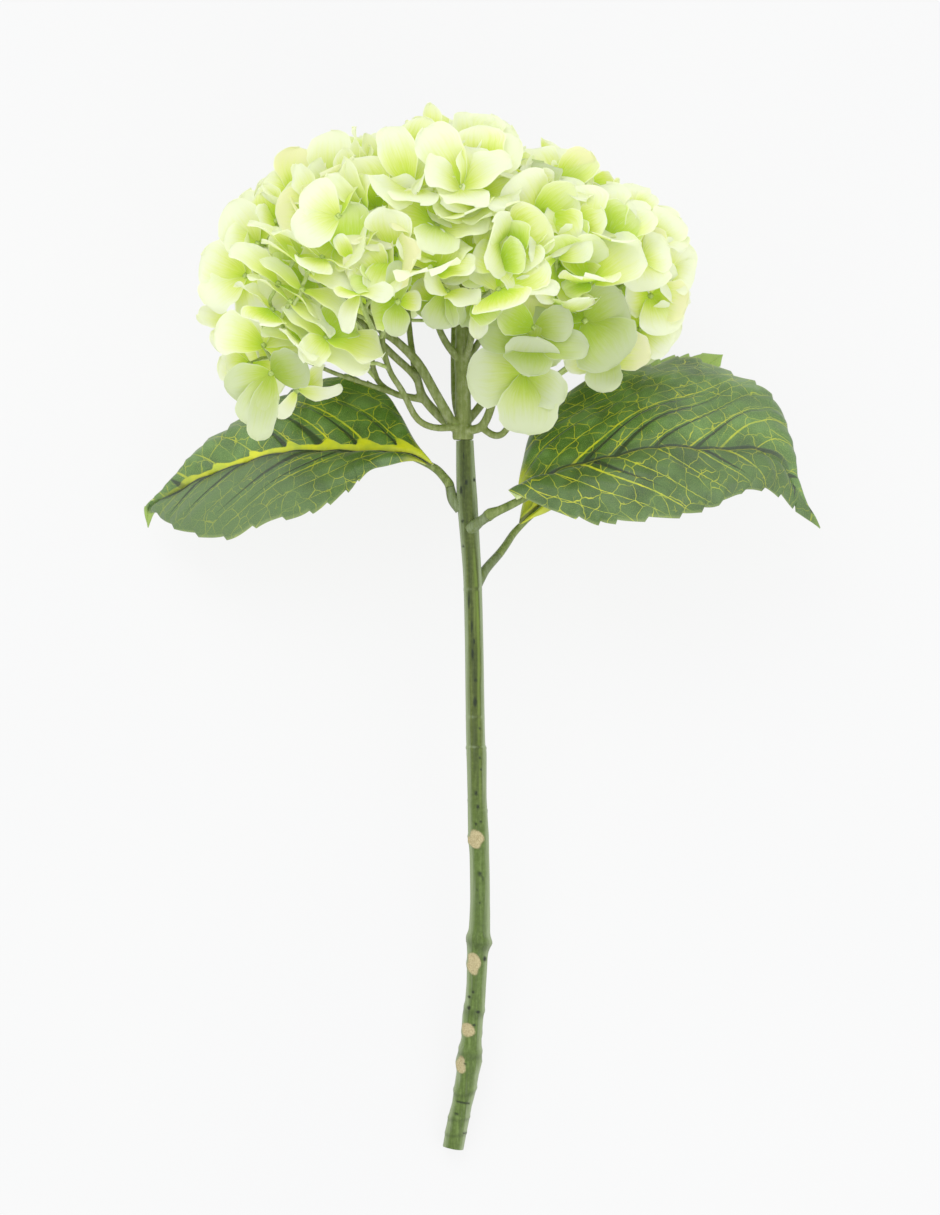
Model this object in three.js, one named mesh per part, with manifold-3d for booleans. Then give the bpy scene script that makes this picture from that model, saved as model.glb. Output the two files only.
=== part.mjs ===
// A cut hydrangea of cloth and moulded plastic, laid down on a table, in millimetres.
// The plant has its own frame: X across, Y along the stem towards the flower head, Z towards
// the side that faces up as it lies. The whole plant leans back on its head, so that the cut
// end of the stem and the underside of the head both touch the table at Z = 0.
import * as THREE from 'three';
import { mergeVertices } from 'three/addons/utils/BufferGeometryUtils.js';
import Module from 'manifold-3d';

const wasm = await Module();
wasm.setup();
const { Manifold } = wasm;

// Driving dimensions.
const REST_LEAN = 12.5;          // degrees that the stem rises from the table towards the head
const SEAT_GAP = 0.3;            // clearance where one piece sits on or in another
const CLOTH = 0.8;               // thickness of a petal or a leaf blade

const HEAD_HEIGHT = 78;          // of the head's widest level above the collar
const HEAD_RADIUS = 88;          // from the head's axis to the floret centres at the widest level
const HEAD_SHIFT = -7;           // of the head's axis from the stem's, across
const CROWN_RISE = 56;           // of the floret centres above the widest level
const SKIRT_DROP = 80;           // depth below the widest level at which the head would close
const SKIRT_MIDDLE = 0.16;       // share of that depth that the florets reach down to in the middle
const SKIRT_LEFT = 0.34;         // added towards the left side, and towards the right
const SKIRT_RIGHT = 0.2;
const SEED = 7;

const SPIRAL_COUNT = 58;         // places on the spiral over the whole head
const SPIRAL_START = 0.4;        // of a step, before the first place
const SPIRAL_FALL = 1.5;         // from 1 at the crown through 0 at the widest level
const SPIRAL_SPACE = 26;         // least distance of a spiral place from a front floret
const SPIRAL_OPENING = [18, 48]; // degrees that the petals open there, from least to most
const SPIRAL_SIZE = [1, 1.25];
const STRAY = 0.8;               // how far those florets turn away from facing straight outwards
const STRAY_UPWARDS = 0.3;       // and how much of that is upwards

const PETAL_LENGTH = 24;
const PETAL_HALF_WIDTH = 0.54;   // of the petal's length
const PETAL_WIDEST = 0.6;        // share of the length at which the petal is widest
const PETAL_BASE = 0.25;         // of that width, at the floret's centre
const PETAL_CUP = 0.4;           // how strongly the sides of a petal rise
const LEVELS_OUT = 0.95;         // share of its opening that a petal has lost at the tip

const CORE_SHIFT = -4;           // of the core's axis from the stem's, across
const CORE_PROFILE = [[0, 66], [36, 67], [54, 75], [58, 88], [46, 104], [24, 115], [0, 118]];
const CORE_SIDES = 14;
const PEDICEL_RING = 37;         // where pedicels run into the core, from its axis
const PEDICEL_INWARDS = 0.6;     // and share of the way out for the florets inside that ring
const PEDICEL_ROOTS = [74, 98];  // lowest and highest level of those places
const PEDICEL_ROOT = 1.0;        // radius in the core
const PEDICEL_TIP = 0.8;         // radius at the floret
const PEDICEL_KNEE = 9;          // length that runs straight back from the floret
const BEAD_RISE = 0.6;           // of the pedicel's end over the middle of the petals
const PEDICEL_SIDES = 3;

// The flower stalk's collar and shoulder: radius and height. The column and the branches run up
// to the core and are cut off a seat's gap below it.
const COLLAR_PROFILE = [[0, 0], [4.4, 0], [4.9, 1], [4.9, 3.5], [3.6, 5]];
const COLUMN_RADIUS = 3.6;
const COLUMN_TOP = 80;
const COLUMN_SIDES = 10;
const BRANCH_SIDES = 6;
const PIN_RADIUS = 2.0;          // the stem's pin that the flower stalk is pushed onto
const PIN_LENGTH = 14;
const PIN_FOOT = -6;             // where the pin starts inside the stem
const PIN_LEAN = 0.4;            // where its end stands across

// The stem's centreline: across, along and its radius there. A wide place is a knot.
const STEM_ROUTE = [
  [0.7, -0.3, 3.9], [1.1, -13, 4.3], [1.8, -27, 4.7], [3.0, -43, 4.4], [4.2, -61, 4.1],
  [5.0, -90, 4.1], [5.4, -116, 4.2], [5.8, -137, 4.3], [6.1, -141, 4.6], [6.4, -161, 4.3],
  [7.0, -178, 4.7], [7.4, -186, 4.4], [7.7, -208, 4.4], [7.4, -221, 4.8], [7.1, -226, 5.5],
  [6.6, -231, 4.7], [6.0, -245, 4.4], [5.2, -255, 4.6], [4.5, -259, 4.8], [3.8, -269, 4.6],
  [3.2, -275, 5.2], [2.7, -279, 6.0], [2.0, -285, 5.1], [0.8, -292, 5.0], [-0.6, -299, 4.5],
  [-2.2, -306, 4.8], [-4.6, -318.5, 4.7],
];
const STEM_SIDES = 12;

// Side shoots moulded on the stem, and the way that the leaf stalk on each one's end takes from
// there to its blade: across, along, depth and radius.
const SHOOTS = {
  left: [[-1.0, -31, 0, 2.6], [-4.4, -27, 0, 2.5], [-5.8, -21.5, -1, 2.2]],
  right: [[3.5, -40, 2, 2.6], [8.6, -36.2, 7, 2.6], [11.2, -34.4, 9, 2.3]],
  back: [[4.8, -67, -1, 2.4], [10, -58.5, -6, 2.2], [15.6, -52, -13.2, 2.0]],
};
const LEAF_STALKS = {
  left: [[-8.6, -16.6, -2.6, 2.0], [-12.5, -12.6, -5.2, 1.9]],
  right: [[16.4, -31.9, 10, 2.0], [22, -29.2, 9, 1.9]],
  back: [[19.4, -47, -19, 1.8], [23.5, -41, -26.5, 1.7]],
};
const SHOOT_SIDES = 8;
const LEAF_STALK_SIDES = 7;
const STALK_COLLAR = 1.6;        // length of the straight ring where a leaf stalk meets its shoot
const RIB_RADIUS = 1.5;          // of the leaf stalk where it runs under the blade
const RIB_SHARES = [0.06, 0.12, 0.2, 0.3];

// Leaf blades: the midrib and both margins from base to tip, as across, along and depth.
const LEAVES = {
  left: {
    midrib: [[-13.5, -10.7, -2], [-23.5, -6, -6], [-38, -4.6, -9], [-53, -3.5, -12], [-78, -4.2, -17],
      [-92, -6.2, -22], [-115, -13.6, -32], [-135, -22.9, -42], [-146, -26.9, -48]],
    upper: [[-13.5, -10.7, -2], [-21.5, -0.4, -10], [-28.8, 12, -21], [-36, 20, -29], [-48, 24, -35],
      [-62, 24.5, -39], [-80, 21, -41], [-101, 13, -42], [-115, 5, -42], [-125, -5, -43],
      [-133, -16, -45], [-146, -26.9, -48]],
    lower: [[-13.5, -10.7, -2], [-24.4, -9.6, -3], [-33.4, -10.9, -2], [-40, -13.5, 0], [-46, -17.6, 2],
      [-52.5, -24.4, 3], [-61, -31, 3], [-71.5, -34.3, 1], [-87, -37.7, -4], [-103, -44.4, -10],
      [-118, -43.7, -20], [-132, -39.8, -32], [-140.5, -32.5, -42], [-146, -26.9, -48]],
    bulge: 3,
  },
  right: {
    midrib: [[24, -26.6, 12.5], [36.5, -18.6, 16], [45, -13.9, 19], [55, -10.8, 21], [65, -8.7, 22],
      [88, -4.7, 22], [112, -4.9, 18], [131, -5.5, 12], [141, -9, 8], [148, -20, 6], [160, -39.8, 6]],
    upper: [[24, -26.6, 12.5], [26.5, -11, 3], [30.7, 3, -6], [41, 16.6, -14], [58.8, 30.2, -20],
      [74, 33.5, -22], [85, 36.4, -24], [99, 39.7, -26], [110, 37.4, -25], [127, 31, -20],
      [136, 25, -15], [144, 15, -9], [148, -1, -3], [152, -25, 3], [160, -39.8, 6]],
    lower: [[24, -26.6, 12.5], [26, -27.5, 18], [31.5, -29, 24], [39, -32.6, 28], [48, -35.8, 31],
      [61, -39.5, 33], [69, -39.1, 33], [87, -36.9, 32], [102, -35, 30], [110, -31.9, 28],
      [121.5, -25.5, 24], [132, -24, 18], [141.5, -26.5, 12], [149.5, -33, 8], [160, -39.8, 6]],
    bulge: 4,
  },
  back: {
    midrib: [[25.6, -36.9, -24], [37, -27.3, -34], [54, -11.6, -46], [73, 7.4, -54], [87, 19.2, -58],
      [101, 28.7, -61], [121.7, 43, -63]],
    upper: [[25.6, -36.9, -24], [28, -26, -33], [35.7, -6.9, -49], [47.6, 12.2, -59], [62, 25.7, -65],
      [76, 37, -67], [92.4, 42.5, -67], [106.4, 44, -65], [121.7, 43, -63]],
    lower: [[25.6, -36.9, -24], [37.6, -31.6, -30], [58.5, -21.2, -38], [82, -7.1, -44], [101, 7.1, -50],
      [113, 21.4, -55], [119, 33, -60], [121.7, 43, -63]],
    bulge: 3,
  },
};
const TEETH = 11;                // on each side of a leaf
const TOOTH_DEPTH = 2.4;
const SMOOTH_BASE = 0.3;         // share of the margin near the base that has no teeth
const ACROSS = 4;                // spans from one margin of a leaf to the other

// Branches of the flower stalk from the column outwards: across, along, depth and radius.
const BRANCHES = [
  [[0, 8, 0, 2.2], [-10, 20, 6, 2.2], [-20, 36, 10, 1.9], [-31, 58, 14, 1.7], [-34, 76, 16, 1.5]],
  [[0, 8, -1, 2.4], [-13, 22, -3, 2.3], [-21, 34, -8, 2.0], [-24, 56, -14, 1.8], [-27, 76, -20, 1.6]],
  [[0, 6, 2, 1.8], [-13, 5.2, 8, 1.6], [-20, 8.5, 10, 1.6], [-27, 21, 13, 1.5], [-33, 31, 18, 1.4],
    [-36, 50, 24, 1.3], [-30, 76, 28, 1.3]],
  [[0, 9, 0, 2.0], [-17, 17, -4, 1.8], [-30, 21, -8, 1.6], [-40, 28, -9, 1.5], [-42, 52, -8, 1.4],
    [-39, 76, -6, 1.3]],
  [[0, 4, 1, 2.2], [8, 5.5, 6, 2.1], [12, 12.5, 9, 2.0], [14, 22, 12, 1.8], [17, 46, 17, 1.6],
    [20, 76, 22, 1.5]],
  [[0, 6, -1, 2.0], [8, 16, -4, 2.0], [16, 30, -9, 1.8], [26, 52, -14, 1.6], [30, 76, -16, 1.4]],
  [[0, 6, -2, 2.2], [-3, 16, -10, 2.0], [-4, 34, -20, 1.8], [-4, 56, -30, 1.6], [-4, 76, -36, 1.4]],
  [[0, 34, 0, 2.0], [-8, 44, 5, 1.7], [-12, 54, 10, 1.5], [-14, 76, 14, 1.4]],
  [[0, 34, 0, 1.8], [3, 42, 7, 1.6], [5, 54, 16, 1.5], [5, 76, 26, 1.4]],
  [[0, 35, 0, 1.8], [7, 44, -2, 1.6], [12, 56, -3, 1.5], [14, 76, -3, 1.4]],
  [[8, 5.5, 6, 1.7], [14, 1.6, 9, 1.7], [18, 2.4, 12, 1.6], [24, 14, 17, 1.5], [28, 44, 20, 1.4],
    [31, 76, 14, 1.3]],
];

// Florets set by hand on the side that faces up: across, along, depth, degrees that they face
// to the right and upwards, turn of the petals, degrees that the petals open, and size.
const FRONT_FLORETS = [
  [26, 29, 60, 8, -14, 75, 12, 1.05],
  [24, 42, 68, -14, 20, 35, 26, 0.9],
  [52, 49, 60, 28, -16, 45, 18, 1.12],
  [15, 60, 82, -6, 26, 20, 34, 1.05],
  [59, 71, 60, 14, 52, 55, 32, 1.15],
  [53, 60, 66, 25, -6, 10, 40, 0.85],
  [-1, 106, 74, 0, 36, 85, 36, 1.12],
  [16, 112, 66, 20, 50, 40, 30, 1.0],
  [42, 93, 71, 24, 46, 60, 26, 1.05],
  [62, 92, 56, 38, 44, 15, 26, 1.0],
  [-5, 82, 86, -22, -8, 50, 46, 1.0],
  [30, 80, 82, 12, 30, 30, 34, 1.0],
  [86, 88, 26, 62, 20, 25, 24, 1.0],
  [84, 66, 34, 60, 0, 60, 28, 1.0],
  [76, 48, 34, 50, -20, 10, 28, 0.95],
  [-51, 92, 70, -18, 14, 70, 16, 0.95],
  [-43, 84, 76, 24, 24, 20, 60, 1.05],
  [-23, 106, 72, -18, 30, 45, 48, 1.05],
  [-44, 110, 58, -16, 44, 15, 40, 1.0],
  [-76, 100, 38, -40, 34, 60, 24, 1.0],
  [-96, 76, 26, -58, 6, 40, 20, 1.0],
  [-66, 66, 62, -40, -26, 20, 58, 1.08],
  [-84, 70, 46, -50, -18, 65, 52, 1.05],
  [-46, 56, 70, -14, -30, 50, 50, 1.0],
  [-60, 43, 58, -30, -40, 10, 40, 1.05],
  [-86, 28, 40, -34, -34, 0, 28, 1.05],
  [-92, 50, 34, -48, 14, 35, 26, 1.0],
  [-29, 58, 78, -50, -10, 0, 26, 0.85],
  [-38, 70, 80, -20, 0, 35, 44, 0.95],
  [-10, 60, 80, 8, -30, 45, 34, 0.95],
];

// Helpers for closed meshes, and for joining and cutting them.

function closedGeometry(points, triangles) {
  const geometry = new THREE.BufferGeometry();
  const numbers = points.flatMap((point) => point.toArray());
  geometry.setAttribute('position', new THREE.Float32BufferAttribute(numbers, 3));
  geometry.setIndex(triangles.flat());
  return geometry;
}

function solidOf(geometry) {
  const bare = geometry.clone();
  for (const name of ['normal', 'uv']) bare.deleteAttribute(name);
  const merged = mergeVertices(bare, 1e-4);
  return new Manifold(new wasm.Mesh({
    numProp: 3,
    vertProperties: new Float32Array(merged.attributes.position.array),
    triVerts: new Uint32Array(merged.index.array),
  }));
}

function geometryOf(solid) {
  const { numVert, numProp, vertProperties, triVerts } = solid.getMesh();
  const points = [];
  for (let i = 0; i < numVert; i += 1) {
    points.push(new THREE.Vector3(...vertProperties.subarray(i * numProp, i * numProp + 3)));
  }
  const geometry = closedGeometry(points, [...triVerts]);
  geometry.computeVertexNormals();
  return geometry;
}

// Joining crossed sheets can leave a loose scrap, which is dropped.
function largestBody(solid) {
  const bodies = solid.decompose();
  const volumes = bodies.map((body) => body.volume());
  return bodies[volumes.indexOf(Math.max(...volumes))];
}

function degrees(angle) {
  return THREE.MathUtils.degToRad(angle);
}

function vectors(points) {
  return points.map(([x, y, z]) => new THREE.Vector3(x, y, z));
}

function curveThrough(points) {
  return new THREE.CatmullRomCurve3(points, false, 'centripetal');
}

// Numbers from 0 to 1 that follow from the seed, the same in every run.
function randomFrom(seed) {
  let state = seed;
  return () => {
    state = (state + 0x6d2b79f5) >>> 0;
    let t = state;
    t = Math.imul(t ^ (t >>> 15), t | 1);
    t ^= t + Math.imul(t ^ (t >>> 7), t | 61);
    return ((t ^ (t >>> 14)) >>> 0) / 4294967296;
  };
}

// A bar of round sections through stations that each hold a place and a radius, with a number
// of sections from one station to the next.
function barGeometry(stations, sides, sections = 1) {
  const curve = curveThrough(vectors(stations));
  const count = (stations.length - 1) * sections;
  const start = curve.getTangent(0);
  const above = Math.abs(start.z) < 0.8 ? new THREE.Vector3(0, 0, 1) : new THREE.Vector3(1, 0, 0);
  const points = [];
  const triangles = [];
  for (let i = 0; i <= count; i += 1) {
    const centre = curve.getPoint(i / count);
    const tangent = curve.getTangent(i / count);
    above.addScaledVector(tangent, -above.dot(tangent)).normalize();
    const aside = new THREE.Vector3().crossVectors(tangent, above);
    const from = Math.min(Math.floor(i / sections), stations.length - 2);
    const radius = THREE.MathUtils.lerp(stations[from][3], stations[from + 1][3], i / sections - from);
    for (let k = 0; k < sides; k += 1) {
      const turn = ((k + 0.5) / sides) * Math.PI * 2;
      points.push(centre.clone()
        .addScaledVector(aside, Math.sin(turn) * radius)
        .addScaledVector(above, -Math.cos(turn) * radius));
    }
  }
  for (let i = 0; i < count; i += 1) {
    for (let k = 0; k < sides; k += 1) {
      const a = i * sides + k;
      const b = i * sides + ((k + 1) % sides);
      triangles.push([a, b + sides, b], [a, a + sides, b + sides]);
    }
  }
  const last = count * sides;
  for (let k = 1; k < sides - 1; k += 1) {
    triangles.push([0, k, k + 1], [last, last + k + 1, last + k]);
  }
  return closedGeometry(points, triangles);
}

function barSolid(stations, sides, sections) {
  return solidOf(barGeometry(stations, sides, sections));
}

// A round solid about the stem's direction, from a profile of radius and height.
function turnedSolid(profile, sides) {
  const outline = profile.map(([radius, height]) => new THREE.Vector2(radius, height));
  return solidOf(new THREE.LatheGeometry(outline, sides));
}

// A sheet of even thickness: points of its middle surface with their normals, the triangles of
// one face, and its rim as pairs of points in the direction in which those triangles run.
function sheetSolid(surface, faces, rim, thickness) {
  const count = surface.length;
  const side = (sign) => surface.map(([p, n]) => p.clone().addScaledVector(n, (sign * thickness) / 2));
  const triangles = [
    ...faces,
    ...faces.map(([a, b, c]) => [a + count, c + count, b + count]),
    ...rim.flatMap(([a, b]) => [[b, a, a + count], [b, a + count, b + count]]),
  ];
  return solidOf(closedGeometry([...side(1), ...side(-1)], triangles));
}

// The table as seen from the plant's own frame: a plane just under the stem's cut end.

const lean = degrees(REST_LEAN);
const tableNormal = new THREE.Vector3(0, Math.sin(lean), Math.cos(lean));

function stemBar() {
  const stations = STEM_ROUTE.map(([across, along, radius]) => [across, along, 0, radius]);
  return barGeometry(stations, STEM_SIDES);
}

function lowestOf(geometry) {
  const { position } = geometry.attributes;
  const point = new THREE.Vector3();
  let lowest = Infinity;
  for (let i = 0; i < position.count; i += 1) {
    lowest = Math.min(lowest, point.fromBufferAttribute(position, i).dot(tableNormal));
  }
  return lowest;
}

const tableLevel = lowestOf(stemBar());

function heightOverTable(point) {
  return point.dot(tableNormal) - tableLevel;
}

function raisedTo(height, point) {
  const low = height - heightOverTable(point);
  return low > 0 ? point.addScaledVector(tableNormal, low) : point;
}

// Stem.

function pinSolid(radius, length) {
  const foot = STEM_ROUTE[0][0];
  return barSolid([[foot, PIN_FOOT, 0, radius], [PIN_LEAN, length, 0, radius]], SHOOT_SIDES);
}

function stem() {
  const pin = pinSolid(PIN_RADIUS, PIN_LENGTH - SEAT_GAP);
  const shoots = Object.values(SHOOTS).map((route) => barSolid(route, SHOOT_SIDES, 2));
  return Manifold.union([solidOf(stemBar()), pin, ...shoots]);
}

// Flower stalk.

function headCore(clearance = 0) {
  const profile = CORE_PROFILE.map(([radius, height]) => [
    radius > 0 ? radius + clearance : 0,
    height + (height < HEAD_HEIGHT ? -clearance : clearance),
  ]);
  return turnedSolid(profile, CORE_SIDES).translate([CORE_SHIFT, 0, 0]);
}

function flowerStalk() {
  const columnProfile = [...COLLAR_PROFILE, [COLUMN_RADIUS, COLUMN_TOP], [0, COLUMN_TOP]];
  const column = turnedSolid(columnProfile, COLUMN_SIDES);
  const branches = BRANCHES.map((route) => barSolid(route, BRANCH_SIDES));
  return Manifold.union([column, ...branches])
    .subtract(pinSolid(PIN_RADIUS + SEAT_GAP, PIN_LENGTH))
    .subtract(headCore(SEAT_GAP));
}

// Where the florets sit and which way they face.

function facing(right, up) {
  const yaw = degrees(right);
  const pitch = degrees(up);
  const level = new THREE.Vector3(Math.sin(yaw), 0, Math.cos(yaw));
  return level.multiplyScalar(Math.cos(pitch)).setY(Math.sin(pitch));
}

function frontFloret([across, along, depth, right, up, turn, opening, size]) {
  return {
    centre: new THREE.Vector3(across, along, depth),
    faces: facing(right, up),
    turn: degrees(turn),
    opening: degrees(opening),
    size,
  };
}

// How far below the widest level the florets reach on each side, as a share of SKIRT_DROP.
function skirtEdge(across) {
  return SKIRT_MIDDLE + (across < 0 ? SKIRT_LEFT : SKIRT_RIGHT) * across * across;
}

function spiralFloret(index, random) {
  const rise = 1 - ((index + SPIRAL_START) / SPIRAL_COUNT) * SPIRAL_FALL;
  const turn = index * Math.PI * (3 - Math.sqrt(5));
  const ring = Math.sqrt(1 - rise * rise);
  const across = Math.sin(turn) * ring;
  const depth = Math.cos(turn) * ring;
  const reach = rise > 0 ? CROWN_RISE : SKIRT_DROP;
  const outwards = new THREE.Vector3(across, (rise * HEAD_RADIUS) / reach, depth).normalize();
  const stray = new THREE.Vector3(random(), random() + STRAY_UPWARDS, random()).addScalar(-0.5);
  return {
    centre: new THREE.Vector3(across, 0, depth).multiplyScalar(HEAD_RADIUS)
      .add(new THREE.Vector3(HEAD_SHIFT, HEAD_HEIGHT + rise * reach, 0)),
    faces: outwards.addScaledVector(stray, STRAY).normalize(),
    turn: random() * Math.PI,
    opening: degrees(THREE.MathUtils.lerp(...SPIRAL_OPENING, random())),
    size: THREE.MathUtils.lerp(...SPIRAL_SIZE, random()),
    hangs: rise < -skirtEdge(Math.sin(turn)),
  };
}

function floretLayout() {
  const random = randomFrom(SEED);
  const front = FRONT_FLORETS.map(frontFloret);
  const spiral = [];
  for (let i = 0; i < SPIRAL_COUNT; i += 1) {
    const floret = spiralFloret(i, random);
    const nearest = Math.min(...front.map((other) => other.centre.distanceTo(floret.centre)));
    if (!floret.hangs && nearest > SPIRAL_SPACE) spiral.push(floret);
  }
  return [...front, ...spiral];
}

// One petal. Its middle line leaves the floret's centre at the floret's opening and levels out
// towards its tip. Where it meets the table, or a petal that lies there, it bends to lie flat.
const QUARTER_WIDTH = 0.93;      // half the room between a petal's neighbours, over its reach
const PETAL_STEPS = 20;
const STEEPEST = 0.3;            // a direction with less than this along the table has none

function petalWidth(share) {
  if (share < PETAL_WIDEST) {
    const inwards = 1 - share / PETAL_WIDEST;
    return PETAL_HALF_WIDTH * (1 - (1 - PETAL_BASE) * inwards * inwards);
  }
  const t = (share - PETAL_WIDEST) / (1 - PETAL_WIDEST);
  return PETAL_HALF_WIDTH * Math.sqrt(1 - t * t);
}

function alongTable(direction, otherwise) {
  const flat = direction.clone().addScaledVector(tableNormal, -direction.dot(tableNormal));
  return flat.length() > STEEPEST ? flat.normalize() : otherwise.clone().normalize();
}

function petalFrames(floret, radial, sideways, length, rest) {
  const point = floret.centre.clone();
  const outwards = new THREE.Vector3(point.x < HEAD_SHIFT ? -1 : 1, 0, 0);
  const frames = [];
  for (let i = 0; i <= PETAL_STEPS; i += 1) {
    const tilt = floret.opening * (1 - (LEVELS_OUT * i) / PETAL_STEPS);
    let along = radial.clone().multiplyScalar(Math.cos(tilt));
    along.addScaledVector(floret.faces, Math.sin(tilt));
    let across = sideways.clone();
    const next = point.clone().addScaledVector(along, length / PETAL_STEPS);
    const lies = heightOverTable(next) < rest;
    if (lies) {
      along = alongTable(along, outwards);
      across = alongTable(across, tableNormal.clone().cross(along));
      across.addScaledVector(along, -across.dot(along)).normalize();
    }
    const reach = point.clone().sub(floret.centre).cross(floret.faces).length();
    frames.push({ point: point.clone(), along, across, lies, reach });
    point.addScaledVector(along, length / PETAL_STEPS);
    if (lies) point.addScaledVector(tableNormal, rest - heightOverTable(point));
  }
  return frames;
}

function petalPoint({ frames, length, rest }, [share, side]) {
  const { point, along, across, lies, reach } = frames[Math.round(share * PETAL_STEPS)];
  const half = Math.min(petalWidth(share), (QUARTER_WIDTH * reach) / length) * side;
  const normal = along.clone().cross(across);
  const place = point.clone().addScaledVector(across, half * length);
  if (!lies) place.addScaledVector(normal, PETAL_CUP * half * half * length);
  return [raisedTo(rest, place), normal];
}

// The closed sheet of one floret: four petals round a shared centre. The outline of a petal is
// the notch before it, two points on each side, and the notch after it.
const PETALS = 4;
const NOTCH = 0.15;
const OUTLINE = [[0.5, -1], [0.9, -1], [0.9, 1], [0.5, 1]];
const MIDDLE = [0.6, 0];
const LAYER = CLOTH + 0.2;       // from a petal on the table to one that lies on it

function floretSolid(floret) {
  const length = PETAL_LENGTH * floret.size;
  const rest = CLOTH / 2 + floret.layer * LAYER;
  const upwards = new THREE.Vector3(0, 1, 0).addScaledVector(floret.faces, -floret.faces.y).normalize();
  const leftwards = new THREE.Vector3().crossVectors(floret.faces, upwards);
  const direction = (angle) => upwards.clone().multiplyScalar(Math.cos(angle))
    .addScaledVector(leftwards, Math.sin(angle));
  const petals = [];
  for (let k = 0; k < PETALS; k += 1) {
    const angle = floret.turn + (k / PETALS) * Math.PI * 2;
    const [radial, sideways] = [angle, angle + Math.PI / 2].map(direction);
    petals.push({ frames: petalFrames(floret, radial, sideways, length, rest), length, rest });
  }
  const surface = [[floret.centre, floret.faces]];
  for (let k = 0; k < PETALS; k += 1) {
    const before = petalPoint(petals[(k + PETALS - 1) % PETALS], [NOTCH, 0]);
    const after = petalPoint(petals[k], [NOTCH, 0]);
    surface.push([before[0].lerp(after[0], 0.5), before[1].add(after[1]).normalize()]);
  }
  const faces = [];
  const rim = [];
  petals.forEach((petal, k) => {
    const first = surface.length;
    surface.push(petalPoint(petal, MIDDLE), ...OUTLINE.map((at) => petalPoint(petal, at)));
    const edge = [1 + k, ...OUTLINE.map((_, i) => first + 1 + i), 1 + ((k + 1) % PETALS)];
    for (let i = 0; i + 1 < edge.length; i += 1) {
      faces.push([first, edge[i], edge[i + 1]]);
      rim.push([edge[i], edge[i + 1]]);
    }
    faces.push([first, edge[edge.length - 1], 0], [first, 0, edge[0]]);
  });
  return sheetSolid(surface, faces, rim, CLOTH);
}

function pedicelSolid({ centre, faces }) {
  const aside = centre.x - CORE_SHIFT;
  const share = Math.min(PEDICEL_INWARDS, PEDICEL_RING / Math.hypot(aside, centre.z));
  const height = THREE.MathUtils.clamp(centre.y, ...PEDICEL_ROOTS);
  const bead = centre.clone().addScaledVector(faces, BEAD_RISE);
  const knee = centre.clone().addScaledVector(faces, -PEDICEL_KNEE);
  return barSolid([
    [...bead.toArray(), PEDICEL_TIP],
    [...knee.toArray(), PEDICEL_TIP],
    [CORE_SHIFT + aside * share, height, centre.z * share, PEDICEL_ROOT],
  ], PEDICEL_SIDES);
}

// Petals pass between each other: each floret is tried at a few turns, a little further in or
// out, and on the table or on the petals that lie there. It keeps the place where it crosses the
// florets set before it the least. One that would pass through a branch or a leaf is left out.
const FRONT_TURNS = [0, 12, -12];
const SPIRAL_TURNS = [0, 20, 45, 65];
const LIFTS = [0, 5, -5, 9, -9];
const LOWEST_CENTRE = 3;         // of a floret over the table
const FLORET_REACH = 30;

function settledBloom(floret, turns, placed, obstacle) {
  const layers = heightOverTable(floret.centre) < FLORET_REACH ? [0, 1] : [0];
  let best = null;
  const tryPlace = (turn, lift, layer) => {
    const centre = raisedTo(LOWEST_CENTRE, floret.centre.clone().addScaledVector(floret.faces, lift));
    const tried = { ...floret, centre, turn: floret.turn + degrees(turn), layer };
    const bloom = floretSolid(tried).add(pedicelSolid(tried));
    if (!bloom.intersect(obstacle).isEmpty()) return;
    const near = placed.filter((other) => other.centre.distanceTo(centre) < 2 * FLORET_REACH);
    const crossings = near.reduce((sum, other) => sum + bloom.intersect(other.bloom).numTri(), 0);
    if (!best || crossings < best.crossings) best = { bloom, centre, crossings };
  };
  for (const layer of layers) {
    for (const turn of turns) {
      for (const lift of LIFTS) tryPlace(turn, lift, layer);
    }
  }
  return best;
}

function head(neighbours) {
  const obstacle = Manifold.union(neighbours);
  const placed = [];
  floretLayout().forEach((floret, order) => {
    const turns = order < FRONT_FLORETS.length ? FRONT_TURNS : SPIRAL_TURNS;
    const settled = settledBloom(floret, turns, placed, obstacle);
    if (settled) placed.push(settled);
  });
  return largestBody(Manifold.union([headCore(), ...placed.map(({ bloom }) => bloom)]));
}

// Leaves.

// A point of a leaf's margin, which runs in and out as teeth beyond its smooth base.
function marginPoint(margin, midrib, step, steps) {
  const share = step / steps;
  const point = margin.getPoint(share);
  const isNotch = step % 2 === 1 && share > SMOOTH_BASE && step < steps - 1;
  if (isNotch) point.addScaledVector(midrib.getPoint(share).sub(point).normalize(), TOOTH_DEPTH);
  return point;
}

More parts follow.
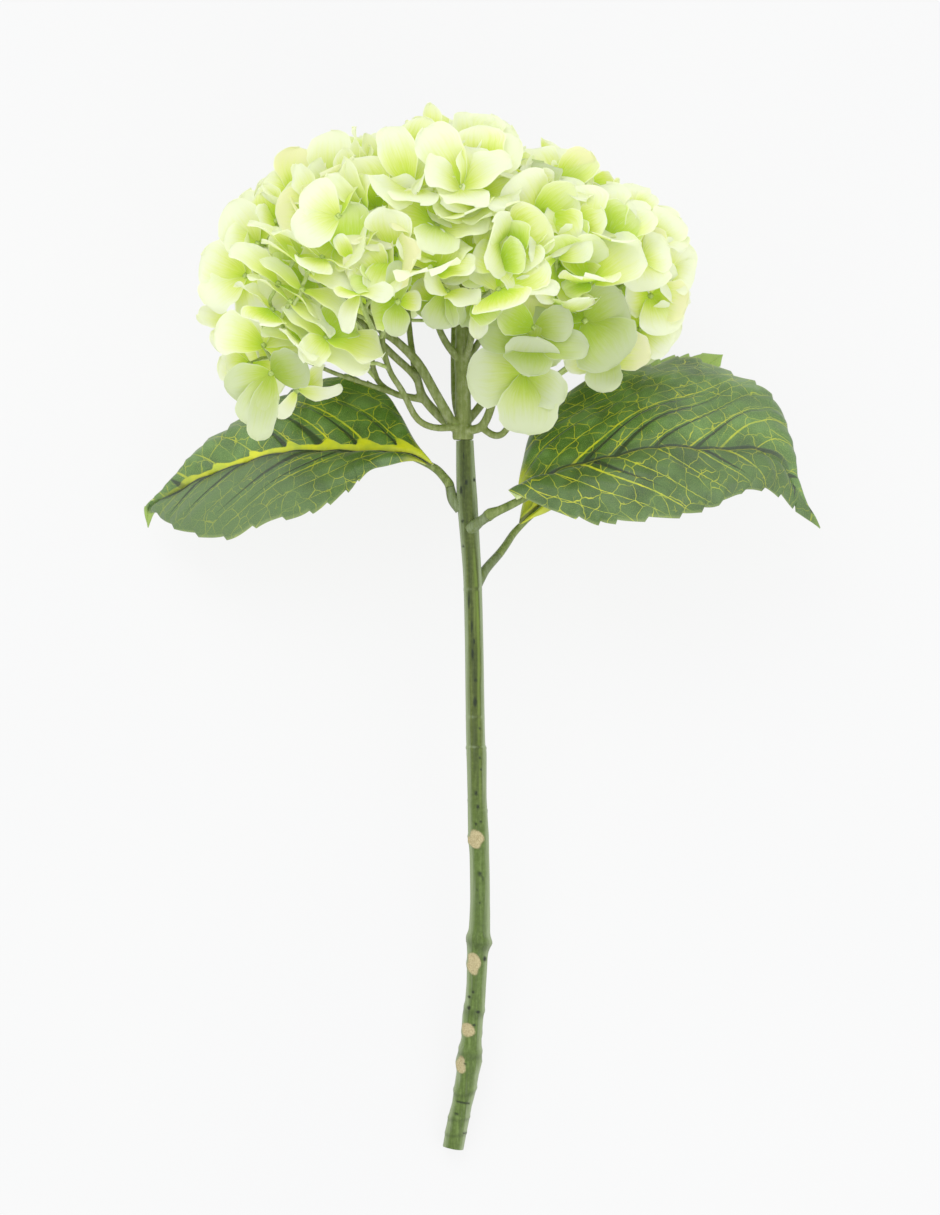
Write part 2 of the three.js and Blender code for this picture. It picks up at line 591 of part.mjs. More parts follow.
// The middle surface of a blade as rows of five points from its lower to its upper margin, with
// the normals on the side that faces up. towards is 1 where the leaf points right, -1 left.
function bladeRows({ midrib, upper, lower, bulge }, towards) {
  const rib = curveThrough(vectors(midrib));
  const steps = 2 * Math.round(TEETH / (1 - SMOOTH_BASE));
  const rows = [];
  for (let i = 0; i <= steps; i += 1) {
    const middle = rib.getPoint(i / steps);
    const [bottom, top] = [lower, upper].map((margin) => (
      marginPoint(curveThrough(vectors(margin)), rib, i, steps)
    ));
    const [lowHalf, topHalf] = [bottom, top].map((edge) => edge.clone().lerp(middle, 0.5));
    rows.push([bottom, lowHalf, middle, topHalf, top]);
  }
  const normalAt = (i, j) => {
    const inner = THREE.MathUtils.clamp(i, 1, steps - 1);
    const row = rows[inner];
    const along = rows[inner + 1][j].clone().sub(rows[inner - 1][j]);
    const across = row[Math.min(j + 1, ACROSS)].clone().sub(row[Math.max(j - 1, 0)]);
    return along.cross(across).normalize().multiplyScalar(towards);
  };
  for (let i = 1; i < steps; i += 1) {
    const lift = bulge * Math.sin((Math.PI * i) / steps);
    for (const j of [1, 3]) rows[i][j].addScaledVector(normalAt(i, j), lift);
  }
  return rows.map((row, i) => row.map((point, j) => [point, normalAt(i, j)]));
}

function bladeSolid(leaf, towards, thickness) {
  const rows = bladeRows(leaf, towards);
  const steps = rows.length - 1;
  const [base, tip] = [rows[0][2], rows[steps][2]];
  const surface = [base, ...rows.slice(1, -1).flat(), tip];
  const index = (i, j) => {
    if (i === 0) return 0;
    return i === steps ? surface.length - 1 : 1 + (i - 1) * (ACROSS + 1) + j;
  };
  const ordered = (...corners) => (towards > 0 ? corners : corners.reverse());
  const faces = [];
  const rim = [];
  for (let i = 0; i < steps; i += 1) {
    for (let j = 0; j < ACROSS; j += 1) {
      const [a, b, c, d] = [index(i, j), index(i + 1, j), index(i + 1, j + 1), index(i, j + 1)];
      if (a !== d) faces.push(ordered(a, c, d));
      if (b !== c) faces.push(ordered(a, b, c));
    }
    rim.push(ordered(index(i, 0), index(i + 1, 0)));
    rim.push(ordered(index(i + 1, ACROSS), index(i, ACROSS)));
  }
  return sheetSolid(surface, faces, rim, thickness);
}

// A leaf stalk starts a seat's gap from the end of its shoot, and runs on as a rib under its
// blade, the same gap below it.
function leafStalk(side, towards) {
  const [before, end] = vectors(SHOOTS[side].slice(-2));
  const onwards = end.clone().sub(before).normalize();
  const radius = SHOOTS[side].at(-1)[3];
  const collar = [SEAT_GAP, STALK_COLLAR].map((distance) => (
    [...end.clone().addScaledVector(onwards, distance).toArray(), radius]
  ));
  const rows = bladeRows(LEAVES[side], towards);
  const rib = RIB_SHARES.map((share) => {
    const [point, normal] = rows[Math.round(share * (rows.length - 1))][2];
    const ribRadius = RIB_RADIUS * (1 - share);
    point.addScaledVector(normal, -(CLOTH / 2 + SEAT_GAP + ribRadius));
    return [...point.toArray(), ribRadius];
  });
  return barSolid([...collar, ...LEAF_STALKS[side], ...rib], LEAF_STALK_SIDES, 2)
    .subtract(bladeSolid(LEAVES[side], towards, CLOTH + 2 * SEAT_GAP));
}

// Materials.

function stemPlastic() {
  return new THREE.MeshStandardMaterial({ color: 0x5f7f45, roughness: 0.55, metalness: 0 });
}

function stalkPlastic() {
  return new THREE.MeshStandardMaterial({ color: 0x7f9460, roughness: 0.6, metalness: 0 });
}

function leafStalkPlastic() {
  return new THREE.MeshStandardMaterial({ color: 0x6f8f4c, roughness: 0.55, metalness: 0 });
}

function petalCloth() {
  return new THREE.MeshStandardMaterial({ color: 0xd9ee9a, roughness: 0.8, metalness: 0 });
}

function leafCloth() {
  return new THREE.MeshStandardMaterial({ color: 0x3f6b3c, roughness: 0.6, metalness: 0 });
}

// The whole plant, leaned back and set on the table with its middle over the origin.

const plant = new THREE.Group();
plant.name = 'plant';

function addPiece(name, solid, material) {
  const mesh = new THREE.Mesh(geometryOf(solid), material);
  mesh.name = name;
  plant.add(mesh);
  return solid;
}

const neighbours = [
  addPiece('stem', stem(), stemPlastic()),
  addPiece('flower_stalk', flowerStalk(), stalkPlastic()),
];
for (const side of Object.keys(LEAVES)) {
  const towards = side === 'left' ? -1 : 1;
  const blade = bladeSolid(LEAVES[side], towards, CLOTH);
  neighbours.push(addPiece(`leaf_${side}`, blade, leafCloth()));
  neighbours.push(addPiece(`leaf_stalk_${side}`, leafStalk(side, towards), leafStalkPlastic()));
}
addPiece('head', head(neighbours), petalCloth());

plant.rotation.x = degrees(REST_LEAN);
const part = new THREE.Group();
part.add(plant);
part.updateMatrixWorld(true);
const bounds = new THREE.Box3().setFromObject(part, true);
const middle = bounds.getCenter(new THREE.Vector3());
plant.position.set(-middle.x, -middle.y, -bounds.min.z);

export default part;
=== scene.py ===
from math import atan2, cos, hypot, pi, radians, sin, sqrt

import bpy
import numpy as np
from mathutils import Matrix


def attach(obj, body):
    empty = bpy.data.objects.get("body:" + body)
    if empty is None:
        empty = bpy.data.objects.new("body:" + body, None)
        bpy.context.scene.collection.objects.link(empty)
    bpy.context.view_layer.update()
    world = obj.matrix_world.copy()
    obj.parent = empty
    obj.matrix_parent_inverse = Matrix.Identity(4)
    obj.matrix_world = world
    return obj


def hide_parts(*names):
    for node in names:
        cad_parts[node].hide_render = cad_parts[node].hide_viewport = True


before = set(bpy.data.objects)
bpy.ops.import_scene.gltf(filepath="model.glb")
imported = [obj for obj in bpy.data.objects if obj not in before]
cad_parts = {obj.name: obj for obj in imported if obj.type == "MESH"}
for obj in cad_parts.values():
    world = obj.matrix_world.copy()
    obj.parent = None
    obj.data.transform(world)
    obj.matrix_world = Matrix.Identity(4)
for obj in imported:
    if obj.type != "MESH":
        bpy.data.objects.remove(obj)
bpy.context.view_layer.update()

# The plant's own frame is in millimetres: X across, Y along the stem towards the head, Z towards
# the side that faces up. Its origin is the middle of the flower stalk's collar, and the whole
# plant leans back on its head.
LEAN = radians(12.5)
COLLAR_AT = np.array([-7.002, 77.517, 73.418])
TURN = np.array([[1, 0, 0], [0, cos(LEAN), -sin(LEAN)], [0, sin(LEAN), cos(LEAN)]])
UP = np.array([0, sin(LEAN), cos(LEAN)])        # away from the table
MM = 0.001


def height(point):
    return float(point @ UP) + COLLAR_AT[2]


def unit(v):
    return v / np.linalg.norm(v)


# Camera and light.

CAMERA_DISTANCE = 1500
CAMERA_AIM = (3.15, -75.4)
FRAME_HEIGHT = 546.75
SENSOR = 36
SKY_STRENGTH = 1.19
VIEW_GAMMA = 1.36
# Lamps that point at the middle of the plant: place, width in metres and watts.
LAMPS = {"key": ((-350, 800, 900), 0.9, 5.2), "fill": ((600, -500, 900), 0.8, 3.5)}
LIT_MIDDLE = (0, 40, 0)


def row(points):
    """Points of the plant's frame, in the row's frame and in metres."""
    return (np.asarray(points) @ TURN.T + COLLAR_AT) * MM


def add_camera():
    data = bpy.data.cameras.new("camera")
    data.lens = SENSOR * CAMERA_DISTANCE / FRAME_HEIGHT
    data.sensor_width = SENSOR
    camera = bpy.data.objects.new("camera", data)
    camera.location = row([*CAMERA_AIM, CAMERA_DISTANCE])
    camera.rotation_euler = (LEAN, 0, 0)
    bpy.context.scene.collection.objects.link(camera)
    bpy.context.scene.camera = camera


def add_lamp(name, place, width, power):
    data = bpy.data.lights.new(name, "AREA")
    data.shape = "DISK"
    data.size = width
    data.energy = power
    lamp = bpy.data.objects.new(name, data)
    at, middle = row([place, LIT_MIDDLE])
    lamp.location = at
    back = unit(at - middle)
    lamp.rotation_euler = (atan2(hypot(back[0], back[1]), back[2]), 0, atan2(back[0], -back[1]))
    bpy.context.scene.collection.objects.link(lamp)


def add_studio():
    world = bpy.data.worlds.new("studio")
    world.use_nodes = True
    background = world.node_tree.nodes["Background"]
    background.inputs["Color"].default_value = (1, 1, 1, 1)
    background.inputs["Strength"].default_value = SKY_STRENGTH
    bpy.context.scene.world = world
    bpy.context.scene.view_settings.view_transform = "Standard"
    bpy.context.scene.view_settings.gamma = VIEW_GAMMA
    for name, measures in LAMPS.items():
        add_lamp(name, *measures)


# Procedural materials.

def linear(code):
    """A hexadecimal sRGB colour as linear numbers."""
    channels = [int(code[i:i + 2], 16) / 255 for i in (0, 2, 4)]
    return tuple(c / 12.92 if c < 0.04045 else ((c + 0.055) / 1.055) ** 2.4 for c in channels) + (1,)


class Value:
    """A number that a material works out at each point, with the usual signs of arithmetic."""

    def __init__(self, paint, socket):
        self.paint = paint
        self.socket = socket

    def __add__(self, other):
        return self.paint.math("ADD", self, other)

    def __sub__(self, other):
        return self.paint.math("SUBTRACT", self, other)

    def __rsub__(self, other):
        return self.paint.math("SUBTRACT", other, self)

    def __mul__(self, other):
        return self.paint.math("MULTIPLY", self, other)

    def __truediv__(self, other):
        return self.paint.math("DIVIDE", self, other)

    def __pow__(self, other):
        return self.paint.math("POWER", self, other)

    def __abs__(self):
        return self.paint.math("ABSOLUTE", self)

    __radd__ = __add__
    __rmul__ = __mul__


class Paint:
    """A material and short calls for its nodes. A call takes values, sockets or plain numbers, and
    a colour may be its hexadecimal code."""

    def __init__(self, name):
        self.material = bpy.data.materials.new(name)
        self.material.use_nodes = True
        self.tree = self.material.node_tree
        self.tree.nodes.clear()

    def node(self, kind, values=None, **settings):
        made = self.tree.nodes.new(kind)
        for key, value in settings.items():
            setattr(made, key, value)
        for key, value in (values or {}).items():
            self.feed(made.inputs[key], value)
        return made

    def feed(self, socket, value):
        if isinstance(value, Value):
            value = value.socket
        if isinstance(value, str):
            value = linear(value)
        if isinstance(value, bpy.types.NodeSocket):
            self.tree.links.new(value, socket)
        else:
            socket.default_value = value

    def math(self, operation, *values):
        made = self.node("ShaderNodeMath", dict(enumerate(values)), operation=operation)
        return Value(self, made.outputs[0])

    def largest(self, first, *others):
        for other in others:
            first = self.math("MAXIMUM", first, other)
        return first

    def smooth(self, value, low, high):
        """0 below low, 1 above high, or the other way round where low is the greater."""
        start, end, first, last = (low, high, 0, 1) if low < high else (high, low, 1, 0)
        values = {"Value": value, "From Min": start, "From Max": end, "To Min": first, "To Max": last}
        made = self.node("ShaderNodeMapRange", values, interpolation_type="SMOOTHSTEP")
        return Value(self, made.outputs[0])

    def mix(self, factor, a, b, blend="MIX"):
        values = {0: factor, 6: a, 7: b}
        return self.node("ShaderNodeMix", values, data_type="RGBA", blend_type=blend).outputs[2]

    def ramp(self, value, stops):
        made = self.node("ShaderNodeValToRGB", {"Fac": value})
        ends = made.color_ramp.elements
        while len(ends) < len(stops):
            ends.new(0.5)
        for end, (place, code) in zip(ends, stops):
            end.position = place
            end.color = linear(code)
        return made.outputs["Color"]

    def uv(self, name):
        made = self.node("ShaderNodeUVMap", uv_map=name)
        split = self.node("ShaderNodeSeparateXYZ", {0: made.outputs[0]})
        return [Value(self, split.outputs[i]) for i in range(2)]

    def tint(self):
        """The four numbers that each point of the mesh carries."""
        made = self.node("ShaderNodeAttribute", attribute_name="Tint")
        split = self.node("ShaderNodeSeparateColor", {0: made.outputs["Color"]})
        return [Value(self, socket) for socket in (*split.outputs[:3], made.outputs["Alpha"])]

    def place(self, scale=1):
        """The plant's own frame, in millimetres times scale."""
        return self.node("ShaderNodeMapping", {
            "Vector": self.node("ShaderNodeTexCoord").outputs["Object"],
            "Rotation": (-LEAN, 0, 0),
            "Location": -(COLLAR_AT @ TURN) * scale,
            "Scale": (scale / MM,) * 3,
        }).outputs[0]

    def lengthwise(self, across, along):
        """The plant's own frame, drawn out along the stem for streaks."""
        values = {"Vector": self.place(), "Scale": (across, along, across)}
        return self.node("ShaderNodeMapping", values).outputs[0]

    def joined(self, x, y):
        return self.node("ShaderNodeCombineXYZ", {0: x, 1: y}).outputs[0]

    def noise(self, vector, scale, detail=2, roughness=0.5):
        values = {"Vector": vector, "Scale": scale, "Detail": detail, "Roughness": roughness}
        return Value(self, self.node("ShaderNodeTexNoise", values).outputs["Fac"])

    def cells(self, vector, scale, randomness=1):
        """The distance to the nearest edge of a net of cells."""
        values = {"Vector": vector, "Scale": scale, "Randomness": randomness}
        settings = {"feature": "DISTANCE_TO_EDGE", "voronoi_dimensions": "2D"}
        return Value(self, self.node("ShaderNodeTexVoronoi", values, **settings).outputs["Distance"])

    def bump(self, value, distance, strength):
        values = {"Height": value, "Distance": distance * MM, "Strength": strength}
        return self.node("ShaderNodeBump", values).outputs["Normal"]

    def surface(self, colour, roughness, normal=None, translucent=0, glow=None, **settings):
        """The shader. translucent is the share of the light that passes through, in glow's colour."""
        shader = self.node("ShaderNodeBsdfPrincipled", {"Base Color": colour, "Roughness": roughness})
        for key, value in settings.items():
            self.feed(shader.inputs[key.replace("_", " ").title().replace("Ior", "IOR")], value)
        out = shader.outputs[0]
        if normal is not None:
            self.feed(shader.inputs["Normal"], normal)
        if translucent:
            through = self.node("ShaderNodeBsdfTranslucent", {"Color": glow})
            blend = {0: translucent, 1: out, 2: through.outputs[0]}
            out = self.node("ShaderNodeMixShader", blend).outputs[0]
        self.node("ShaderNodeOutputMaterial", {"Surface": out})
        return self.material


def petal_cloth():
    """Printed cloth: deep lime at the middle of a floret, off-white at the margin of each petal."""
    paint = Paint("petal_cloth")
    side, along = paint.uv("Petal")
    pale, deep, peach, painted_shade = paint.tint()
    reach = abs(side * 2 - 1)
    streaks = paint.noise(paint.joined(side * 26, along * 2.2), 1, 3, 0.6)
    fine = paint.noise(paint.joined(side * 90, along * 5), 1)
    blotch = paint.noise(paint.place(0.05), 1)
    # The tint gives each petal its own share of the way from lime to off-white.
    far = along + (streaks - 0.5) * 0.5 + (pale - 0.5) * 0.6 + reach ** 3 * 0.22 + (blotch - 0.5) * 0.3
    colour = paint.ramp(far, [
        (0, "b6da0e"), (0.22, "cae42a"), (0.42, "dfeb62"), (0.6, "eef3a4"), (0.8, "f5f6da"), (1, "f9f9f4"),
    ])
    green = paint.ramp(far, [(0, "a8ce1a"), (0.35, "c0de48"), (0.7, "dcea94"), (1, "eaf0cc")])
    colour = paint.mix(deep, colour, green)
    colour = paint.mix(peach * paint.smooth(far, 0.35, 0.9) * 0.7, colour, "f4ecb6")
    colour = paint.mix(paint.smooth(fine, 0.52, 0.72) * 0.2, colour, "f4f6de")
    rim = paint.largest(paint.smooth(reach, 0.93, 1), paint.smooth(along, 0.96, 1))
    colour = paint.mix(rim * 0.7, colour, "fdfcf8")
    # Painted shade darkens some petals, in their colour and in their glow.
    colour = paint.mix(painted_shade, colour, "d4dcb8", "MULTIPLY")
    glow = paint.mix(painted_shade, paint.mix(0.4, colour, "e6f658"), "c8d8a0", "MULTIPLY")
    weave = paint.noise(paint.place(), 3.2, 1)
    normal = paint.bump(streaks * 0.7 + fine * 0.3 + weave * 0.25, 0.35, 0.6)
    # A faint lime glow is painted light that lifts the shade between the petals.
    return paint.surface(
        colour, 0.72, normal, 0.6, glow, specular_ior_level=0.25, sheen_weight=0.15, sheen_roughness=0.5,
        emission_color="ccde64", emission_strength=0.06,
    )


def bead_plastic():
    paint = Paint("bead_plastic")
    mottle = paint.noise(paint.place(), 0.9)
    colour = paint.ramp(mottle, [(0.3, "6f8a2c"), (0.7, "a5bf52")])
    return paint.surface(colour, 0.5, paint.bump(mottle, 0.2, 0.6))


def stalk_plastic(name, dark, mid, light):
    """Moulded plastic with lengthwise streaks."""
    paint = Paint(name)
    streak = paint.noise(paint.lengthwise(0.5, 0.06), 1, 4, 0.6)
    mottle = paint.noise(paint.place(), 0.35, 4, 0.65)
    colour = paint.ramp(streak * 0.6 + mottle * 0.4, [(0.3, dark), (0.5, mid), (0.68, light)])
    grain = paint.noise(paint.place(), 2.2, 3, 0.6)
    normal = paint.bump(grain + streak * 1.5, 0.18, 0.6)
    return paint.surface(colour, mottle * 0.25 + 0.42, normal, specular_ior_level=0.15)


def stem_plastic():
    """The stem's plastic. The mesh carries how olive it is, how dark it is from its specks and from
    painted shade in its groove, its slits and under its rings, its tan scars, and how bright it is from
    the flanks, pale with painted reflection, at 0 over the plain green at 0.5 to the streak at 1."""
    paint = Paint("stem_plastic")
    olive, dark, tan, bright = paint.tint()
    streak = paint.noise(paint.lengthwise(0.7, 0.035), 1, 4, 0.65)
    mottle = paint.noise(paint.place(), 0.5, 4, 0.65)
    both = streak * 0.65 + mottle * 0.35
    green = paint.ramp(both, [(0.34, "26370a"), (0.5, "394d17"), (0.66, "50672c")])
    old = paint.ramp(both, [(0.34, "232f08"), (0.5, "354210"), (0.66, "4f5c26")])
    colour = paint.mix(olive, green, old)
    bright = bright + (streak - 0.5) * 0.7
    colour = paint.mix(paint.smooth(bright, 0.5, 1), colour, "4e641a")
    # Painted reflection makes the flanks paler.
    colour = paint.mix(paint.smooth(bright, 0.5, 0), colour, "74845a")
    bark = paint.noise(paint.place(), 1.6, 4, 0.7)
    scar = paint.ramp(bark, [(0.35, "7d6e48"), (0.5, "9d9063"), (0.7, "b8aa7c")])
    # Dark specks, and painted shade in the groove, the slits and under the rings.
    colour = paint.mix(dark, paint.mix(tan, colour, scar), "0e1806")
    relief = paint.noise(paint.place(), 2.4, 3, 0.6) + streak * 1.2 + bark * tan * 2.5
    normal = paint.bump(relief, 0.2, 0.7)
    return paint.surface(colour, tan * 0.35 + 0.4, normal, specular_ior_level=0.12)


# Leaf veins, in millimetres on the flat leaf: the lateral veins leave the midrib at a leaf's spacing
# and run outwards and forwards along a curve, with one slope above the midrib and one below it.
LATERAL_CURVE = 0.022
LATERAL_WAVER = 1.6
LATERAL_WAVE = 23
LATERAL_ASLANT = 0.65            # the distance between two laterals as a share of their spacing
FLAT_UNIT = 100                  # millimetres on the flat leaf for one unit of its texture map


def lateral_phase(along, aside, upper, leaf, sine):
    """Which lateral vein a place is at: a whole number on a vein. Takes numbers or a material's
    values, with the sine that goes with them."""
    above, below = leaf["slopes"]
    start = along - aside * (upper * (above - below) + below)
    start = start - aside * aside * LATERAL_CURVE + upper * leaf["shift"]
    return (start + sine(start * (2 * pi / LATERAL_WAVE)) * LATERAL_WAVER) / leaf["spacing"]


def leaf_cloth(name, leaf):
    """Printed cloth: deep green with a net of bright yellow veins, and pale below."""
    paint = Paint(f"leaf_{name}_print")
    share, side = paint.uv("Leaf")
    along, across = [value * FLAT_UNIT for value in paint.uv("Flat")]
    under, edge, _, _ = paint.tint()
    flat = paint.joined(along, across)
    aside = abs(across)
    upper = paint.math("GREATER_THAN", across, 0)
    lower = 1 - upper
    # The share of painted sheen on the half below the midrib, which grows towards the tip.
    sheen_below = lower * paint.smooth(share, 0.15, 0.6) * leaf["low_sheen"]
    phase = lateral_phase(along, aside, upper, leaf, lambda value: paint.math("SINE", value))
    order = paint.math("ROUND", phase)
    offset = (phase - order) * (leaf["spacing"] * LATERAL_ASLANT)
    away = abs(offset)
    outwards = abs(side * 2 - 1)
    broken = paint.noise(flat, 0.1, 3, 0.6)
    shaky = (paint.noise(flat, 0.5, 2, 0.6) - 0.5) * 0.5
    lateral = paint.smooth(away + shaky - (0.36 - outwards * 0.2), 0.12, -0.2)
    lateral = lateral * paint.smooth(outwards, 1, 0.86)
    # The net between the laterals.
    bent = (paint.noise(flat, 0.12) - 0.5) * 7
    net_place = paint.joined(along + bent, across - bent)
    net = paint.smooth(paint.cells(net_place, 0.125, 0.85) + shaky * 0.035, 0.032, 0.004)
    net = net * (paint.smooth(broken, 0.35, 0.55) * 0.65 + 0.35)
    twigs = paint.smooth(paint.cells(net_place, 0.24), 0.045, 0.01)
    twigs = twigs * 0.35 * paint.smooth(broken, 0.58, 0.68)
    # The broad band beside the midrib, which flares where laterals start.
    flare = paint.smooth(away, 3.2, 0.3) * leaf["flare"] + 1
    width = flare * leaf["band"] * (1.02 - share) ** 0.9
    inside = paint.smooth(across / width, 1.15, 0.55)
    ragged = inside + (paint.noise(flat, 0.7, 3, 0.7) - 0.5) * 0.7
    band = paint.smooth(ragged, 0.3, 0.7) * upper * paint.smooth(share, 0.86, 0.6)
    base = paint.smooth(share, leaf["pale_base"], 0.02) * 0.85 * paint.smooth(outwards, 0.15, 0.6)
    fades = 1 - paint.smooth(share, 0.2, 0.95) * 0.7
    vein = paint.largest(net * (fades * 0.75), lateral * fades, twigs) * (broken * 0.75 + 0.5)
    vein = paint.largest(vein * (1 - sheen_below * 0.8), band, base)
    # Painted shade in the pressed creases along the midrib and between some laterals.
    seed = paint.joined(order, upper * 7 + leaf["shift"])
    pick = paint.node("ShaderNodeTexWhiteNoise", {"Vector": seed})
    chosen = paint.math("GREATER_THAN", pick.outputs["Value"], 0.55)
    crease = paint.smooth(abs(offset - 2.6) - (1.5 - outwards * 2), 0.1, -0.7) * chosen * (1 - band)
    fold = paint.smooth(abs(across - leaf["fold"]), 1.2, 0.3) * paint.smooth(share, 0.93, 0.75)
    shadow = paint.smooth(abs(across - leaf["fold"] * 3), 3.6, 0.4) * 0.4 * paint.smooth(share, 0.9, 0.6)
    crease = paint.largest(crease, fold, shadow)
    mottle = paint.noise(flat, 0.06, 3, 0.6)
    speck = paint.noise(flat, 2.2, 2, 0.7)
    green = paint.ramp(mottle, [(0.36, "254606"), (0.5, "3a6012"), (0.64, "527a2e")])
    # Painted sheen greys the cloth in patches, towards the tip and on the half below the midrib.
    grey = paint.smooth(share, 0.25, 0.95) * 0.4 + sheen_below
    sheen_patch = paint.smooth(paint.noise(flat, 0.028), 0.48, 0.66) * 0.5
    green = paint.mix(paint.largest(grey, sheen_patch), green, "54733c")
    green = paint.mix(paint.smooth(speck, 0.5, 0.66) * 0.45, green, "78943e")
    green = paint.mix(paint.smooth(speck, 0.5, 0.34) * 0.4, green, "244816")
    # Painted shade darkens the half below the midrib.
    green = paint.mix(lower * leaf["low_shade"], green, "b4b8a4", "MULTIPLY")
    yellow = paint.ramp(broken, [(0.3, "a8c022"), (0.6, "dade0c")])
    # The creases get their painted shade here.
    colour = paint.mix(crease * 0.88, paint.mix(vein, green, yellow), "121f10")
    first, last, strength = leaf["bleached"]
    colour = paint.mix(paint.smooth(share, first, last) * strength, colour, "8cae3e")
    midrib = paint.smooth(aside, 1.3, 0.6)
    pale = paint.ramp(mottle, [(0.3, "a8c264"), (0.7, "c3d684")])
    pale = paint.mix(paint.largest(lateral, midrib) * 0.6, pale, "dce59a")
    colour = paint.mix(under, colour, pale)
    colour = paint.mix(edge * 0.22, colour, "b4c86c")
    glow = paint.mix(0.8, colour, "b8e030", "MULTIPLY")
    normal = paint.bump(speck * 0.2 - vein * 0.35 - crease * 1.5, 0.35, 0.6)
    return paint.surface(
        colour, speck * 0.2 + 0.4, normal, 0.12, glow,
        specular_ior_level=0.35, sheen_weight=0.14, sheen_roughness=0.35,
    )


def floor_paint():
    """A pale table that glows faintly, as one lit from below does."""
    paint = Paint("floor")
    drift = paint.noise(paint.place(0.004), 1, 1)
    colour = paint.ramp(drift, [(0.3, "545556"), (0.7, "585959")])
    return paint.surface(
        colour, 0.9, specular_ior_level=0, emission_color="ffffff", emission_strength=0.795,
    )


# Meshes.

SHARP_EDGE = radians(55)


class Shape:
    """Points and faces that grow piece by piece, with numbers carried by each point."""

    def __init__(self, *first, **layers):
        self.points, self.faces, self.layers, self.count = [], [], {}, 0
        if first:
            self.add(*first, **layers)

    def add(self, points, faces, **layers):
        self.points.append(points)
        self.faces.extend(np.asarray(face) + self.count for face in faces)
        for key, values in layers.items():
            self.layers.setdefault(key, []).append(values)
        self.count += len(points)


def add_piece(name, shape, material, node):
    """The object that stands for a node, or for a part of it, from a shape in the plant's frame."""
    mesh = bpy.data.meshes.new(name)
    mesh.from_pydata(row(np.vstack(shape.points)).tolist(), [], [face.tolist() for face in shape.faces])
    corners = np.empty(len(mesh.loops), int)
    mesh.loops.foreach_get("vertex_index", corners)
    for key, parts in shape.layers.items():
        values = np.concatenate(parts).astype(float)
        if values.shape[1] == 2:
            mesh.uv_layers.new(name=key).data.foreach_set("uv", values[corners].ravel())
        else:
            layer = mesh.color_attributes.new(name=key, type="FLOAT_COLOR", domain="POINT")
            layer.data.foreach_set("color", values.ravel())
    mesh.polygons.foreach_set("use_smooth", [True] * len(mesh.polygons))
    mesh.update()
    mesh.set_sharp_from_angle(angle=SHARP_EDGE)
    piece = bpy.data.objects.new(name, mesh)
    piece.data.materials.append(material)
    bpy.context.scene.collection.objects.link(piece)
    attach(piece, "root")
    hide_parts(node)


def curve(points, shares):
    """Places on the centripetal curve through points, at shares of it from 0 to 1."""
    points = np.asarray(points, float)
    last = len(points) - 1
    ends = np.vstack([2 * points[0] - points[1], points, 2 * points[last] - points[last - 1]])
    result = []
    for share in shares:
        at = min(share * last, last - 1e-9)
        k = int(at)
        t = at - k
        p0, p1, p2, p3 = ends[k:k + 4]
        d0, d1, d2 = (max(np.sum((b - a) ** 2) ** 0.25, 1e-4) for a, b in ((p0, p1), (p1, p2), (p2, p3)))
        m1 = ((p1 - p0) / d0 - (p2 - p0) / (d0 + d1) + (p2 - p1) / d1) * d1
        m2 = ((p2 - p1) / d1 - (p3 - p1) / (d1 + d2) + (p3 - p2) / d2) * d1
        a = 2 * p1 - 2 * p2 + m1 + m2
        b = -3 * p1 + 3 * p2 - 2 * m1 - m2
        result.append(((a * t + b) * t + m1) * t + p1)
    return np.array(result)


def tube(stations, sides, sections):
    """A closed round bar through stations of a place and a radius: points and faces."""
    stations = np.asarray(stations, float)
    count = (len(stations) - 1) * sections
    shares = np.linspace(0, 1, count + 1)
    centres = curve(stations[:, :3], shares)
    radii = np.interp(shares * (len(stations) - 1), range(len(stations)), stations[:, 3])
    tangents = np.gradient(centres, axis=0)
    above = np.array([0, 0, 1.0]) if abs(unit(tangents[0])[2]) < 0.8 else np.array([1.0, 0, 0])
    angles = (np.arange(sides) + 0.5) / sides * 2 * pi
    points = []
    for centre, tangent, radius in zip(centres, tangents, radii):
        tangent = unit(tangent)
        above = unit(above - (above @ tangent) * tangent)
        aside = np.cross(tangent, above)
        points.append(centre + radius * (np.outer(np.sin(angles), aside) - np.outer(np.cos(angles), above)))
    points = np.vstack([*points, centres[0], centres[-1]])
    faces = []
    for i in range(count):
        for k in range(sides):
            a, b = i * sides + k, i * sides + (k + 1) % sides
            faces.append((a, a + sides, b + sides, b))
    first, last = (count + 1) * sides, (count + 1) * sides + 1
    for k in range(sides):
        a, b = k, (k + 1) % sides
        faces.append((a, b, first))
        faces.append((count * sides + b, count * sides + a, last))
    return points, faces


def sheet(grid, thickness):
    """A closed sheet round a grid of middle points, rows by columns, as points and faces.
    The two faces follow each other in the points, upper face first."""
    rows, columns = grid.shape[:2]
    along = np.gradient(grid, axis=0)
    across = np.gradient(grid, axis=1)
    normals = np.cross(along, across)
    normals /= np.maximum(np.linalg.norm(normals, axis=2, keepdims=True), 1e-9)
    half = normals * np.asarray(thickness)[..., None] / 2
    top = (grid + half).reshape(-1, 3)
    low = (grid - half).reshape(-1, 3)
    size = rows * columns
    index = np.arange(size).reshape(rows, columns)
    a, b, c, d = index[:-1, :-1], index[1:, :-1], index[1:, 1:], index[:-1, 1:]
    upper = np.stack([a, b, c, d], axis=2).reshape(-1, 4)
    lower = np.stack([a, d, c, b], axis=2).reshape(-1, 4) + size
    loop = np.concatenate([index[0, :], index[1:, -1], index[-1, -2::-1], index[-2:0:-1, 0]])
    after = np.roll(loop, -1)
    rim = np.stack([loop, after, after + size, loop + size], axis=1)
    return np.vstack([top, low]), [*upper, *lower, *rim]


# The head's florets. The ones that the photograph shows are given petal by petal, at the pixels
# where it shows them, and the others stand on the same spiral as in the part's source.

